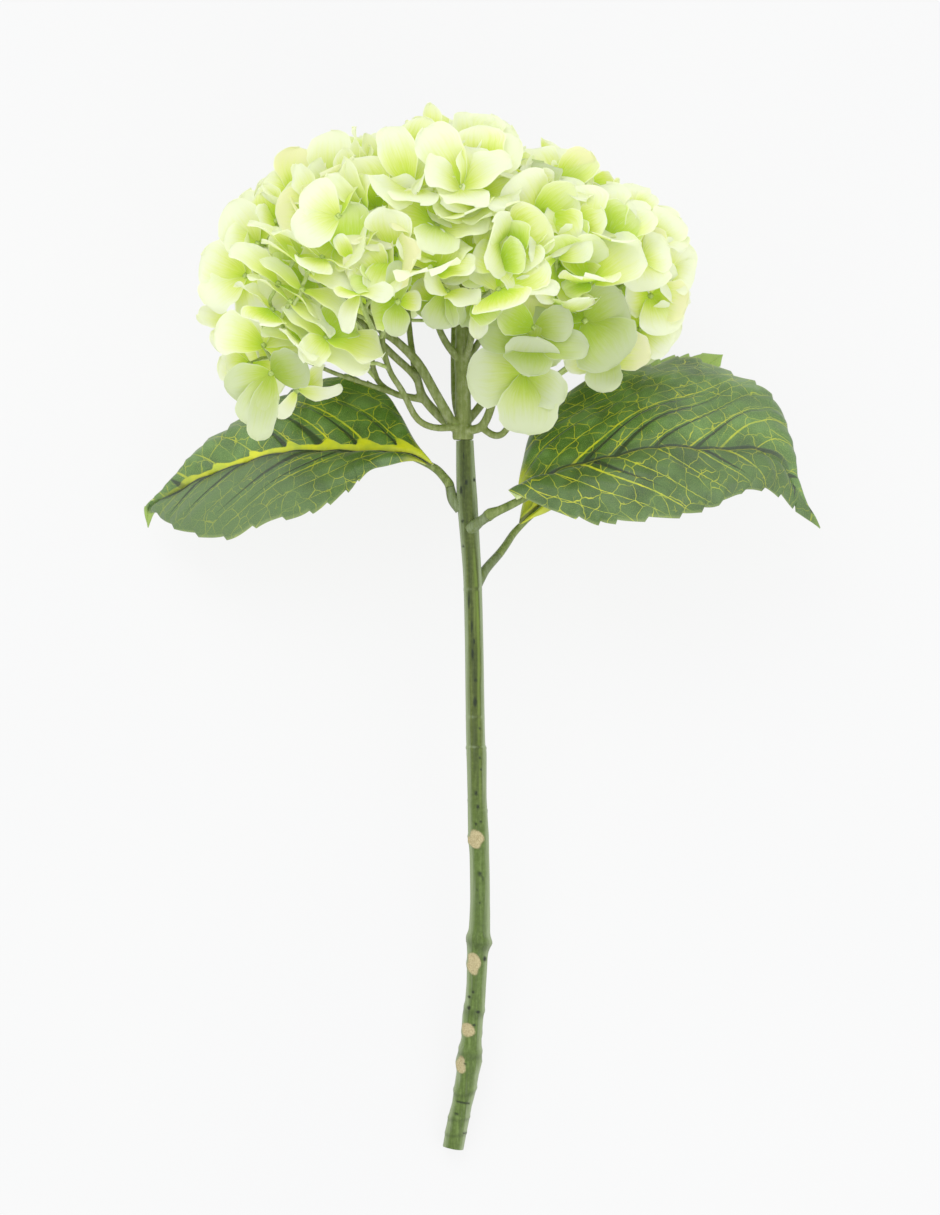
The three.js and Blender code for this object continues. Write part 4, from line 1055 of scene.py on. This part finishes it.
# The branches and the column, as stations: across, along, depth and radius.
BRANCHES = [
    [(0, 4, 0, 2.6), (-5, 8, 3, 2.5), (-8, 13, 4, 2.4), (-12.5, 20.8, 6, 2.3), (-20.4, 34.3, 9, 2.2),
     (-29.3, 43.2, 12, 2), (-38.3, 50.5, 14, 1.9), (-44, 76, 16, 1.5)],
    [(-19.5, 24.5, -3, 1.7), (-22, 29.3, -2, 1.9), (-31.5, 38.2, 0, 1.8), (-41.6, 48.3, 4, 1.7),
     (-50, 58, 7, 1.5), (-53, 76, 8, 1.3)],
    [(0, 3, -1, 2.3), (-9.2, 9.6, -2, 2.3), (-18.1, 19.7, -3, 2.1), (-20.3, 27, -4, 1.9),
     (-22, 34.3, -6, 1.7), (-23.7, 45, -10, 1.5), (-25, 58, -14, 1.4), (-27, 76, -20, 1.3)],
    [(0, 6, 2, 1.8), (-13, 5.2, 8, 1.6), (-20, 8.5, 10, 1.6), (-27, 21, 13, 1.5), (-33, 31, 18, 1.4),
     (-36, 50, 24, 1.3), (-30, 76, 28, 1.3)],
    [(-16.5, 18.2, -3, 1.9), (-24, 19.6, -5, 1.7), (-31, 21.4, -7, 1.5), (-39, 28, -9, 1.4),
     (-42, 52, -8, 1.4), (-39, 76, -6, 1.3)],
    [(0, 4, 1, 2.2), (8, 5.5, 6, 2.1), (12, 12.5, 9, 2), (14, 22, 12, 1.8), (17, 46, 17, 1.6),
     (20, 76, 22, 1.5)],
    [(0, 6, -1, 2), (8, 16, -4, 2), (16, 30, -9, 1.8), (26, 52, -14, 1.6), (30, 76, -16, 1.4)],
    [(0, 6, -2, 2.2), (-3, 16, -10, 2), (-4, 34, -20, 1.8), (-4, 56, -30, 1.6), (-4, 76, -36, 1.4)],
    [(0, 34, 0, 2), (-8, 44, 5, 1.7), (-12, 54, 10, 1.5), (-14, 76, 14, 1.4)],
    [(0, 34, 0, 1.8), (3, 42, 7, 1.6), (5, 54, 16, 1.5), (5, 76, 26, 1.4)],
    [(0, 35, 0, 1.8), (7, 44, -2, 1.6), (12, 56, -3, 1.5), (14, 76, -3, 1.4)],
    [(8, 5.5, 6, 1.7), (14, 1.6, 9, 1.7), (18, 2.4, 12, 1.6), (24, 14, 17, 1.5), (28, 44, 20, 1.4),
     (31, 76, 14, 1.3)],
    [(-31, 21.4, -7, 1.4), (-42.7, 25.3, -5, 1.2), (-57.3, 29.8, 1, 1.1), (-68.5, 34.3, 8, 1)],
]
COLUMN = [
    (0, 0, 0, 4.4), (0, 0.8, 0, 4.85), (0, 3.4, 0, 4.9), (0, 5.4, 0, 4.3), (0, 8, 0, 3.8), (0, 20, 0, 3.6),
    (0, 30, 0, 3.6), (0, 34, 0, 4), (0, 38, 0, 3.6), (0, 60, 0, 3.2), (0, 80, 0, 2.4),
]
VOXEL = 0.5                      # the grain of the flower stalk's skin
PEDICEL_KNEE = 9                 # how far behind its floret a pedicel bends
PEDICEL_REACH = 24               # the length that a pedicel would rather have


def joined_skin(bars):
    """The one smooth skin round bars that run into each other, in the plant's frame."""
    mesh = bpy.data.meshes.new("bars")
    mesh.from_pydata(np.vstack(bars.points).tolist(), [], [face.tolist() for face in bars.faces])
    holder = bpy.data.objects.new("bars", mesh)
    bpy.context.scene.collection.objects.link(holder)
    remesh = holder.modifiers.new("remesh", "REMESH")
    remesh.mode = "VOXEL"
    remesh.voxel_size = VOXEL
    remesh.adaptivity = 0
    soften = holder.modifiers.new("smooth", "SMOOTH")
    soften.factor = 0.5
    soften.iterations = 3
    ready = holder.evaluated_get(bpy.context.evaluated_depsgraph_get())
    made = ready.to_mesh()
    corners = np.empty(len(made.vertices) * 3)
    made.vertices.foreach_get("co", corners)
    quads = [tuple(polygon.vertices) for polygon in made.polygons]
    ready.to_mesh_clear()
    bpy.data.objects.remove(holder)
    bpy.data.meshes.remove(mesh)
    return Shape(corners.reshape(-1, 3), quads)


def branch_places():
    """Places on the branches from which pedicels may leave, with the way that the branch runs."""
    places = []
    for branch in [*BRANCHES, COLUMN[5:]]:
        line = curve([station[:3] for station in branch], np.linspace(0.35, 1, 9))
        for here, after in zip(line[:-1], line[1:]):
            places.append((here, unit(after - here)))
        places.append((line[-1], unit(line[-1] - line[-2])))
    return places


def add_pedicel(shape, bloom, places):
    """The thin stalk of a floret, from the branch that it reaches with the least bend."""
    centre, faces = bloom["centre"], bloom["faces"]
    knee = centre - faces * PEDICEL_KNEE
    costs = []
    for place, runs in places:
        way = knee - place
        far = np.linalg.norm(way)
        costs.append(far * (1.5 - (way @ runs) / max(far, 1)) + abs(far - PEDICEL_REACH) * 0.4)
    place, runs = places[int(np.argmin(costs))]
    far = np.linalg.norm(knee - place)
    shape.add(*tube([
        (*(place - runs), 1), (*(place + runs * far * 0.22), 0.95),
        (*((place + knee) / 2 + runs * far * 0.08), 0.85), (*knee, 0.8), (*(centre - faces * 4), 0.85),
        (*(centre - faces * 0.6), 1.05),
    ], 8, 3))


# Stem.

# Its stations: across, along and radius.
STEM_ROUTE = [
    (0.7, -0.3, 3.9), (1.1, -13, 4.3), (1.8, -27, 4.7), (3, -43, 4.4), (4.2, -61, 4.1), (5, -90, 4.1),
    (5.4, -116, 4.2), (5.8, -137, 4.3), (6.1, -141, 4.6), (6.4, -161, 4.3), (7, -178, 4.7), (7.4, -186, 4.4),
    (7.7, -208, 4.4), (7.4, -221, 4.8), (7.1, -226, 5.5), (6.6, -231, 4.7), (6, -245, 4.4), (5.2, -255, 4.6),
    (4.5, -259, 4.8), (3.8, -269, 4.6), (3.2, -275, 5.2), (2.7, -279, 6), (2, -285, 5.1), (0.8, -292, 5),
    (-0.6, -299, 4.5), (-2.2, -306, 4.8), (-4.6, -318.5, 4.7),
]
PLAIN_BELOW = -172               # below this the stem has neither groove nor streak
STEM_SIDES = 56
STEM_SECTIONS = 22
# Dark specks: across, along, half width and half length.
SPECKS = [
    (4.9, -90.9, 0.5, 1.4), (4.3, -96.3, 0.6, 2.2), (5.6, -107.9, 0.7, 1), (5.4, -117.8, 0.8, 1.9),
    (7.6, -129.9, 0.4, 0.5), (7.6, -142.9, 0.5, 0.6), (8.1, -148.3, 0.4, 0.5), (5.8, -158.7, 0.8, 0.6),
    (6.7, -164.9, 0.6, 0.8), (5.8, -172.6, 0.5, 0.5), (8.1, -171.7, 0.5, 0.4), (7.6, -195, 0.9, 0.6),
    (9, -197.2, 0.5, 0.5), (6.3, -201.7, 0.5, 0.4), (7.6, -208, 0.3, 0.3), (9.9, -233.2, 0.6, 1),
    (4.5, -248, 0.5, 0.5), (2.7, -250.2, 0.5, 0.5), (2.7, -255.1, 0.6, 0.8), (6.7, -256.9, 0.8, 0.6),
    (4.9, -262.8, 0.7, 0.4), (0.2, -7.2, 0.4, 1.3), (1.4, -19.1, 0.7, 1), (5.2, -18, 0.5, 0.7),
    (-0.9, -22.7, 0.5, 1.6), (-0.2, -36.6, 0.6, 0.6), (0, -47.8, 0.5, 0.5), (2.6, -72, 0.4, 3.5),
    (3.9, -84, 0.35, 2.5),
]
# Tan scars: across, along, half width and half length.
SCARS = [
    (5.8, -179.3, 3.1, 3.6), (4.9, -234.9, 2.6, 4.6), (2.3, -265, 2.6, 3.1), (-0.9, -280.7, 1.9, 3.6),
]
# Rings round the stem: along, how far it stands out, and its half width.
RINGS = [
    (-67.5, 0.14, 0.5), (-125, 0.12, 0.5), (-138.5, 0.3, 0.8), (-224.6, 0.7, 2.2), (-255.5, 0.35, 1.4),
    (-274, 0.45, 1.6), (-291.9, 0.35, 1), (-304.5, 0.25, 0.8), (-311.7, 0.2, 0.6),
]
# Slits: along, across, half length across the stem.
SLITS = [(-297.6, 0.0, 3.4), (-302.6, -3.0, 1.0), (-311.6, 1.2, 1.4), (-280.0, 0.9, 0.8)]
# Heights and depths of the stem's relief, in millimetres.
FLUTE, FINE_FLUTE = 0.1, 0.07
SPECK_DEPTH = 0.25
SLIT_DEPTH = 0.4
GROOVE_DEPTH = 0.25
BUMP_RISE = 0.22
HIDDEN_BUMPS = 46
# Numbers that carry the colours: how olive, how dark, how tan and how bright.
STEM_END_TINTS = ((0.9, 0, 0, 0.5), (0.1, 0, 0, 0.5))
SHOOT_TINT = (0.9, 0, 0, 0.3)
# The side shoots that carry the leaves: stations with their radii.
SHOOTS = {
    "left": [(-1, -31, 0, 3), (-4.4, -27, 0, 2.5), (-5.8, -21.5, -1, 2.2)],
    "right": [(3.5, -40, 2, 3.2), (7.4, -37.1, 6, 2.3), (10, -35.3, 8.2, 2.3), (11.2, -34.4, 9, 2.7)],
    "back": [(4.8, -67, -1, 3), (10, -58.5, -6, 2.2), (15.6, -52, -13.2, 2)],
}


def bell(value, width):
    return np.exp(-(value / width) ** 2)


def stem_shape():
    """The stem's skin: flutes, rings, knots and scars as relief, with its colours beside them."""
    points, faces = tube([(x, y, 0, radius) for x, y, radius in STEM_ROUTE], STEM_SIDES, STEM_SECTIONS)
    body = points[:-2].reshape(-1, STEM_SIDES, 3)
    centre = body.mean(axis=1, keepdims=True)
    outwards = body - centre
    radius = np.linalg.norm(outwards, axis=2)
    outwards = outwards / radius[..., None]
    angle = np.arctan2(outwards[..., 0], outwards[..., 2])
    x, y, front = body[..., 0], body[..., 1], outwards[..., 2] > 0
    relief = FLUTE * np.sin(5 * angle + 0.02 * y) + FINE_FLUTE * np.sin(9 * angle - 0.035 * y + 1)
    ringed, dark, tan = np.zeros(x.shape), np.zeros(x.shape), np.zeros(x.shape)
    # Painted shade darkens the stem just under each ring of its lower part.
    for at, rise, width in RINGS:
        beyond = y - at - 1.4 * np.cos(angle + at) * (rise > 0.3)
        relief = relief + rise * bell(beyond, width)
        if at > PLAIN_BELOW:
            ringed = np.maximum(ringed, bell(beyond - width * 0.6, 0.55))
        else:
            dark = np.maximum(dark, 0.35 * bell(beyond + 1.2 * width, 1.1 * width))
    for across, at, wide, tall in SPECKS:
        here = bell(np.hypot((x - across) / wide, (y - at) / tall), 1.4) * front
        dark = np.maximum(dark, np.clip(here * 2.2 - 0.5, 0, 1))
        relief = relief - SPECK_DEPTH * here
    for across, at, wide, tall in SCARS:
        near = np.hypot((x - across) / wide, (y - at) / tall) + 0.12 * np.sin(3 * angle + y)
        here = np.clip((1.15 - near) * 5, 0, 1) * front
        tan = np.maximum(tan, here)
        relief = relief + 0.35 * bell(near - 1.05, 0.2) * front - 0.1 * here
    # Painted shade darkens the slits.
    for at, across, reach in SLITS:
        within = np.clip((reach - abs(x - across)) * 3, 0, 1) * front
        here = bell(y - at + 0.18 * (x - across), 0.45) * within
        dark = np.maximum(dark, here)
        relief = relief - SLIT_DEPTH * here
    # The hidden sides get bumps and specks of their own.
    rng = np.random.default_rng(SEED)
    for _ in range(HIDDEN_BUMPS):
        at, way = rng.uniform(-312, -20), rng.uniform(0, 2 * pi)
        round_stem = np.angle(np.exp(1j * (angle - way))) * 4.5 / 0.8
        bump = bell(np.hypot(round_stem, (y - at) / rng.uniform(0.6, 1.6)), 1.2)
        relief = relief + BUMP_RISE * bump
        dark = np.maximum(dark, np.clip(bump * 1.5 - 0.5, 0, 1) * (cos(way) < 0.2))
    # A groove runs down the middle of the side that faces up, darkened with painted shade, with a
    # brighter streak on its right. The flanks are paler with painted reflection.
    upper = np.clip((y - PLAIN_BELOW) / 30, 0, 1)
    groove = bell(angle + 0.12 - 0.12 * np.sin(y / 31), 0.3)
    groove = groove * (0.7 + 0.3 * np.sin(y / 9) * np.sin(y / 23)) * upper
    dark = np.maximum(dark, 0.65 * groove)
    relief = relief - GROOVE_DEPTH * groove
    streak = upper * bell(angle - 0.4 - 0.1 * np.sin(y / 19), 0.2) * np.clip((-45 - y) / 15, 0, 1)
    streak = streak * (0.75 + 0.25 * np.sin(y / 17))
    bright = 0.5 + 0.5 * streak - 0.5 * np.clip((abs(angle) - 0.4) * 1.3, 0, 1)
    olive = np.clip((y + 190) / 60, 0, 1)
    body = centre + outwards * (radius + relief)[..., None]
    tints = np.stack([olive, dark, tan, bright * (1 - 0.4 * ringed)], axis=2).reshape(-1, 4)
    tints = np.vstack([tints, *STEM_END_TINTS])
    shape = Shape(np.vstack([body.reshape(-1, 3), points[-2:]]), faces, Tint=tints)
    for route in SHOOTS.values():
        points, faces = tube(route, 20, 6)
        shape.add(points, faces, Tint=np.tile(SHOOT_TINT, (len(points), 1)))
    return shape


# Leaves and their stalks.

# Each leaf: its base and tip, the sign that turns its normals to its upper face, its midrib and
# margins between those two ends, and the measures of its relief, its veins and its colours.
LEAVES = {
    "left": {
        "base": (-13.5, -10.7, -2), "tip": (-147, -38, -55), "towards": -1,
        "midrib": [(-23.5, -6, -6), (-38, -4.6, -9), (-53, -3.5, -12), (-78, -4.2, -17), (-92, -6.2, -22),
            (-115, -13.6, -32), (-135, -22.9, -42), (-145.5, -28.5, -48.5)],
        "upper": [(-21.5, -0.4, -10), (-28.8, 12.5, -21), (-36, 23.5, -31), (-48, 31, -37), (-62, 31.5, -41),
            (-80, 25, -42), (-101, 14, -42), (-115, 5, -42), (-125, -5, -43), (-133, -16, -45),
            (-147.6, -27.5, -49)],
        "lower": [(-24.4, -9.6, -3), (-33.4, -10.9, -2), (-40, -13.5, 0), (-46, -17.6, 2), (-52.5, -24.4, 3),
            (-61, -31, 3), (-71.5, -34.3, 1), (-87, -37.7, -4), (-103, -44.4, -10), (-118, -43.7, -20),
            (-132, -39.8, -32), (-140.5, -33.5, -42), (-143.2, -31, -48.5)],
        "bulge": 3, "spacing": 18, "shift": 6, "slopes": (0.75, 1.5), "band": 3.5, "flare": 1.6,
        "pale_base": 0.12, "fold": -0.6, "bleached": (0.9, 0.93, 0.8), "low_shade": 0.5, "low_sheen": 0.6,
    },
    "right": {
        "base": (24, -26.6, 12.5), "tip": (160, -39.8, 6), "towards": 1,
        "midrib": [(36.5, -18.6, 16), (45, -13.9, 19), (55, -10.8, 21), (65, -8.7, 22), (88, -4.7, 22),
            (112, -4.9, 18), (131, -5.5, 12), (141, -9, 8), (148, -20, 6)],
        "upper": [(26.5, -11, 3), (30.7, 3, -6), (41, 16.6, -14), (58.8, 30.2, -20), (74, 33.5, -22),
            (85, 36.4, -24), (99, 39.7, -26), (110, 37.4, -25), (127, 31, -20), (136, 25, -15),
            (144, 15, -9), (148, -1, -3), (152, -25, 3)],
        "lower": [(20.3, -23.6, 17), (24, -25, 22), (39, -32.6, 28), (48, -35.8, 31), (61, -39.5, 33),
            (69, -39.1, 33), (87, -36.9, 32), (102, -35, 30), (110, -31.9, 28), (121.5, -25.5, 24),
            (132, -24, 18), (141.5, -26.5, 12), (149.5, -33, 8)],
        "bulge": 4, "spacing": 17, "shift": 5, "slopes": (1.1, 0.95), "band": 0.4, "flare": 1.2,
        "pale_base": 0.1, "fold": 0.7, "bleached": (0.96, 1, 0.3), "low_shade": 0.7, "low_sheen": 0.1,
    },
    "back": {
        "base": (25.6, -36.9, -24), "tip": (121.7, 43, -63), "towards": 1,
        "midrib": [(37, -27.3, -34), (54, -11.6, -46), (73, 7.4, -54), (87, 19.2, -58), (101, 28.7, -61)],
        "upper": [(28, -26, -33), (35.7, -6.9, -49), (47.6, 12.2, -59), (62, 25.7, -65), (76, 37, -67),
            (92.4, 42.5, -67), (106.4, 44, -65)],
        "lower": [(37.6, -31.6, -30), (58.5, -21.2, -38), (82, -7.1, -44), (101, 7.1, -50), (113, 21.4, -55),
            (119, 33, -60)],
        "bulge": 3, "spacing": 17, "shift": 5, "slopes": (0.9, 0.9), "band": 2.4, "flare": 1,
        "pale_base": 0.3, "fold": 0.5, "bleached": (0.5, 0.8, 0.7), "low_shade": 0, "low_sheen": 0.1,
    },
}
LEAF_STALKS = {
    "left": [(-8.6, -16.6, -2.6, 2), (-12.5, -12.6, -5.2, 1.9)],
    "right": [(16.4, -31.9, 10, 2), (22, -29.2, 9, 1.9)],
    "back": [(19.4, -47, -19, 1.8), (23.5, -41, -26.5, 1.7)],
}
LEAF_ROWS = 170
LEAF_COLUMNS = 41
LEAF_CLOTH = 0.5
TOOTH_DEPTH = 2.6
TOOTH_STEP = 1 / 16
SMOOTH_BASE, SMOOTH_TIP = 0.3, 0.92
LOWER_TEETH_SHIFT = 0.35
END_WIDTH = 0.35                 # of a leaf's end rows, as a share of the rows next to them
# A leaf's relief, in millimetres: its quilting between the veins, its slow waves and the crease
# along its midrib.
QUILT_RISE, SLOW_WAVE, CREASE_DEPTH, CREASE_WIDTH = 1.3, 1.1, 1.3, 1.3
FLUTTER_BEAT = 34                # of the waved margin, over the length of the leaf
RIB_SHARES = (0.06, 0.12, 0.2, 0.3)
RIB_RADIUS = 1.5
RIB_BELOW = 0.9                  # the gap between a rib and its leaf


def saw(shares, phase):
    """How far the margin runs in, from 0 at a tooth's point to 1 at the notch behind it."""
    rise = 1 - ((shares / TOOTH_STEP + phase) % 1) ** 0.8
    return rise * (shares > SMOOTH_BASE) * (shares < SMOOTH_TIP)


def leaf_grid(leaf, rows, columns, tooth):
    """The middle surface of a leaf, with the share of each row along it and the side of each column."""
    shares = np.linspace(0, 1, rows)
    middle, upper, lower = (
        curve([leaf["base"], *leaf[key], leaf["tip"]], shares) for key in ("midrib", "upper", "lower")
    )
    for margin, phase in ((upper, 0), (lower, LOWER_TEETH_SHIFT)):
        inwards = middle - margin
        inwards /= np.maximum(np.linalg.norm(inwards, axis=1, keepdims=True), 1e-6)
        margin += inwards * (tooth * saw(shares, phase))[:, None]
    sides = np.linspace(-1, 1, columns)
    spans = [middle + ((upper if side > 0 else lower) - middle) * abs(side) for side in sides]
    return np.stack(spans, axis=1), shares, sides


def flat_places(grid, sides):
    """The place of each point on the flattened leaf: millimetres along the midrib and across it."""
    middle = grid[:, len(sides) // 2]
    along = np.gradient(middle, axis=0)
    along /= np.linalg.norm(along, axis=1, keepdims=True)
    travelled = np.concatenate([[0], np.cumsum(np.linalg.norm(np.diff(middle, axis=0), axis=1))])
    offset = grid - middle[:, None]
    forward = np.einsum("ijk,ik->ij", offset, along)
    aside = np.linalg.norm(offset - forward[..., None] * along[:, None], axis=2)
    return travelled[:, None] + forward, aside * np.sign(sides)[None, :]


def leaf_normals(grid, towards):
    normals = np.cross(np.gradient(grid, axis=0), np.gradient(grid, axis=1)) * towards
    return normals / np.maximum(np.linalg.norm(normals, axis=2, keepdims=True), 1e-9)


def leaf_relief(leaf, shares, sides, along, across):
    """How far each point of a leaf stands out: its bulge, its quilting between the veins, the crease
    along its midrib and its waved margin."""
    bulge = leaf["bulge"] * np.sin(pi * shares)[:, None] * (4 * abs(sides) * (1 - abs(sides)))[None, :]
    phase = lateral_phase(along, abs(across), across > 0, leaf, np.sin)
    away = abs(phase - np.round(phase)) * leaf["spacing"] * LATERAL_ASLANT
    fade = np.clip((1 - abs(sides))[None, :] * 4, 0, 1) * np.sin(pi * shares)[:, None] ** 0.5
    quilt = QUILT_RISE * np.clip(away / 5, 0, 1) ** 0.7 * fade
    waves = SLOW_WAVE * np.sin(along / 13 + across / 9 + 1) * np.sin(along / 21 - across / 11) * fade
    crease = -CREASE_DEPTH * bell(across + 0.9, CREASE_WIDTH) * np.clip((0.97 - shares) * 6, 0, 1)[:, None]
    flutter = np.sin(shares[:, None] * FLUTTER_BEAT + (sides > 0)[None, :] * 2) * abs(sides)[None, :] ** 6
    return bulge + quilt + waves + crease + flutter * np.sin(pi * shares)[:, None] ** 0.6


def tapered(grid):
    """Keeps the first and last row of a leaf from closing to a single point."""
    for end, inner in ((0, 1), (-1, -2)):
        grid[end] = grid[end].mean(axis=0) + (grid[inner] - grid[inner].mean(axis=0)) * END_WIDTH
    return grid


def leaf_shape(leaf):
    grid, shares, sides = leaf_grid(leaf, LEAF_ROWS, LEAF_COLUMNS, TOOTH_DEPTH)
    along, across = flat_places(grid, sides)
    relief = leaf_relief(leaf, shares, sides, along, across)
    grid = grid + leaf_normals(grid, leaf["towards"]) * relief[..., None]
    if leaf["towards"] < 0:
        grid, sides, along, across = grid[:, ::-1], sides[::-1], along[:, ::-1], across[:, ::-1]
    points, faces = sheet(tapered(grid), LEAF_CLOTH)
    leaf_uv = np.column_stack([np.repeat(shares, LEAF_COLUMNS), np.tile((sides + 1) / 2, LEAF_ROWS)])
    flat_uv = np.column_stack([along.ravel(), across.ravel()]) / FLAT_UNIT
    border = np.zeros(grid.shape[:2])
    border[:, [0, -1]] = 1
    border[[0, -1], :] = 1
    tints = np.zeros((len(points), 4))
    tints[border.size:, 0] = 1
    tints[:, 1] = np.tile(border.ravel(), 2)
    return Shape(points, faces, Leaf=np.tile(leaf_uv, (2, 1)), Flat=np.tile(flat_uv, (2, 1)), Tint=tints)


def leaf_stalk_stations(name, leaf):
    """From the end of the stem's shoot over the stalk's own stations, and along under the midrib."""
    before, end = np.array(SHOOTS[name][-2:])
    onwards = unit(end[:3] - before[:3])
    stations = [(*(end[:3] + onwards * distance), end[3]) for distance in (0.3, 1.6)]
    stations += LEAF_STALKS[name]
    grid, _, _ = leaf_grid(leaf, 101, 5, 0)
    normals = leaf_normals(grid, leaf["towards"])
    for share in RIB_SHARES:
        k = round(share * 100)
        rib = RIB_RADIUS * (1 - share)
        stations.append((*(grid[k, 2] - normals[k, 2] * (LEAF_CLOTH / 2 + RIB_BELOW + rib)), rib))
    return stations


# The scene.

add_camera()
add_studio()

rng = np.random.default_rng(SEED)
front, spiral = outer_florets(rng)
groups = {"front": front, "back": spiral}
groups.update((layer, inner_florets(layer, rng)) for layer in INNER_LAYERS)
cloth = petal_cloth()
places = branch_places()
beads, pedicels = Shape(), Shape()
for number, (part, florets) in enumerate(groups.items()):
    petals = Shape()
    for order, bloom in enumerate(florets):
        add_floret(petals, bloom, np.random.default_rng([SEED, number, order]), order)
        add_bead(beads, bloom)
        add_pedicel(pedicels, bloom, places)
    add_piece(f"petals_{part}", petals, cloth, "head")
add_piece("beads", beads, bead_plastic(), "head")

bars = Shape(*tube(COLUMN, 20, 3))
for branch in BRANCHES:
    bars.add(*tube(branch, 12, 4))
stalk = stalk_plastic("flower_stalk_plastic", "46541e", "647234", "868f60")
add_piece("flower_stalk_skin", joined_skin(bars), stalk, "flower_stalk")
pale_stalk = stalk_plastic("pedicel_plastic", "7c9040", "96aa58", "b0be7c")
add_piece("pedicels", pedicels, pale_stalk, "head")
add_piece("stem_skin", stem_shape(), stem_plastic(), "stem")

leaf_stalk = stalk_plastic("leaf_stalk_plastic", "3c4e1a", "58692c", "7c8a4c")
for name, leaf in LEAVES.items():
    add_piece(f"leaf_{name}_cloth", leaf_shape(leaf), leaf_cloth(name, leaf), f"leaf_{name}")
    skin = Shape(*tube(leaf_stalk_stations(name, leaf), 16, 5))
    add_piece(f"leaf_stalk_{name}_skin", skin, leaf_stalk, f"leaf_stalk_{name}")

bpy.ops.mesh.primitive_grid_add(x_subdivisions=4, y_subdivisions=4, size=8, location=(0, 0, 0))
floor = bpy.context.object
floor.name = "floor"
floor.data.materials.append(floor_paint())
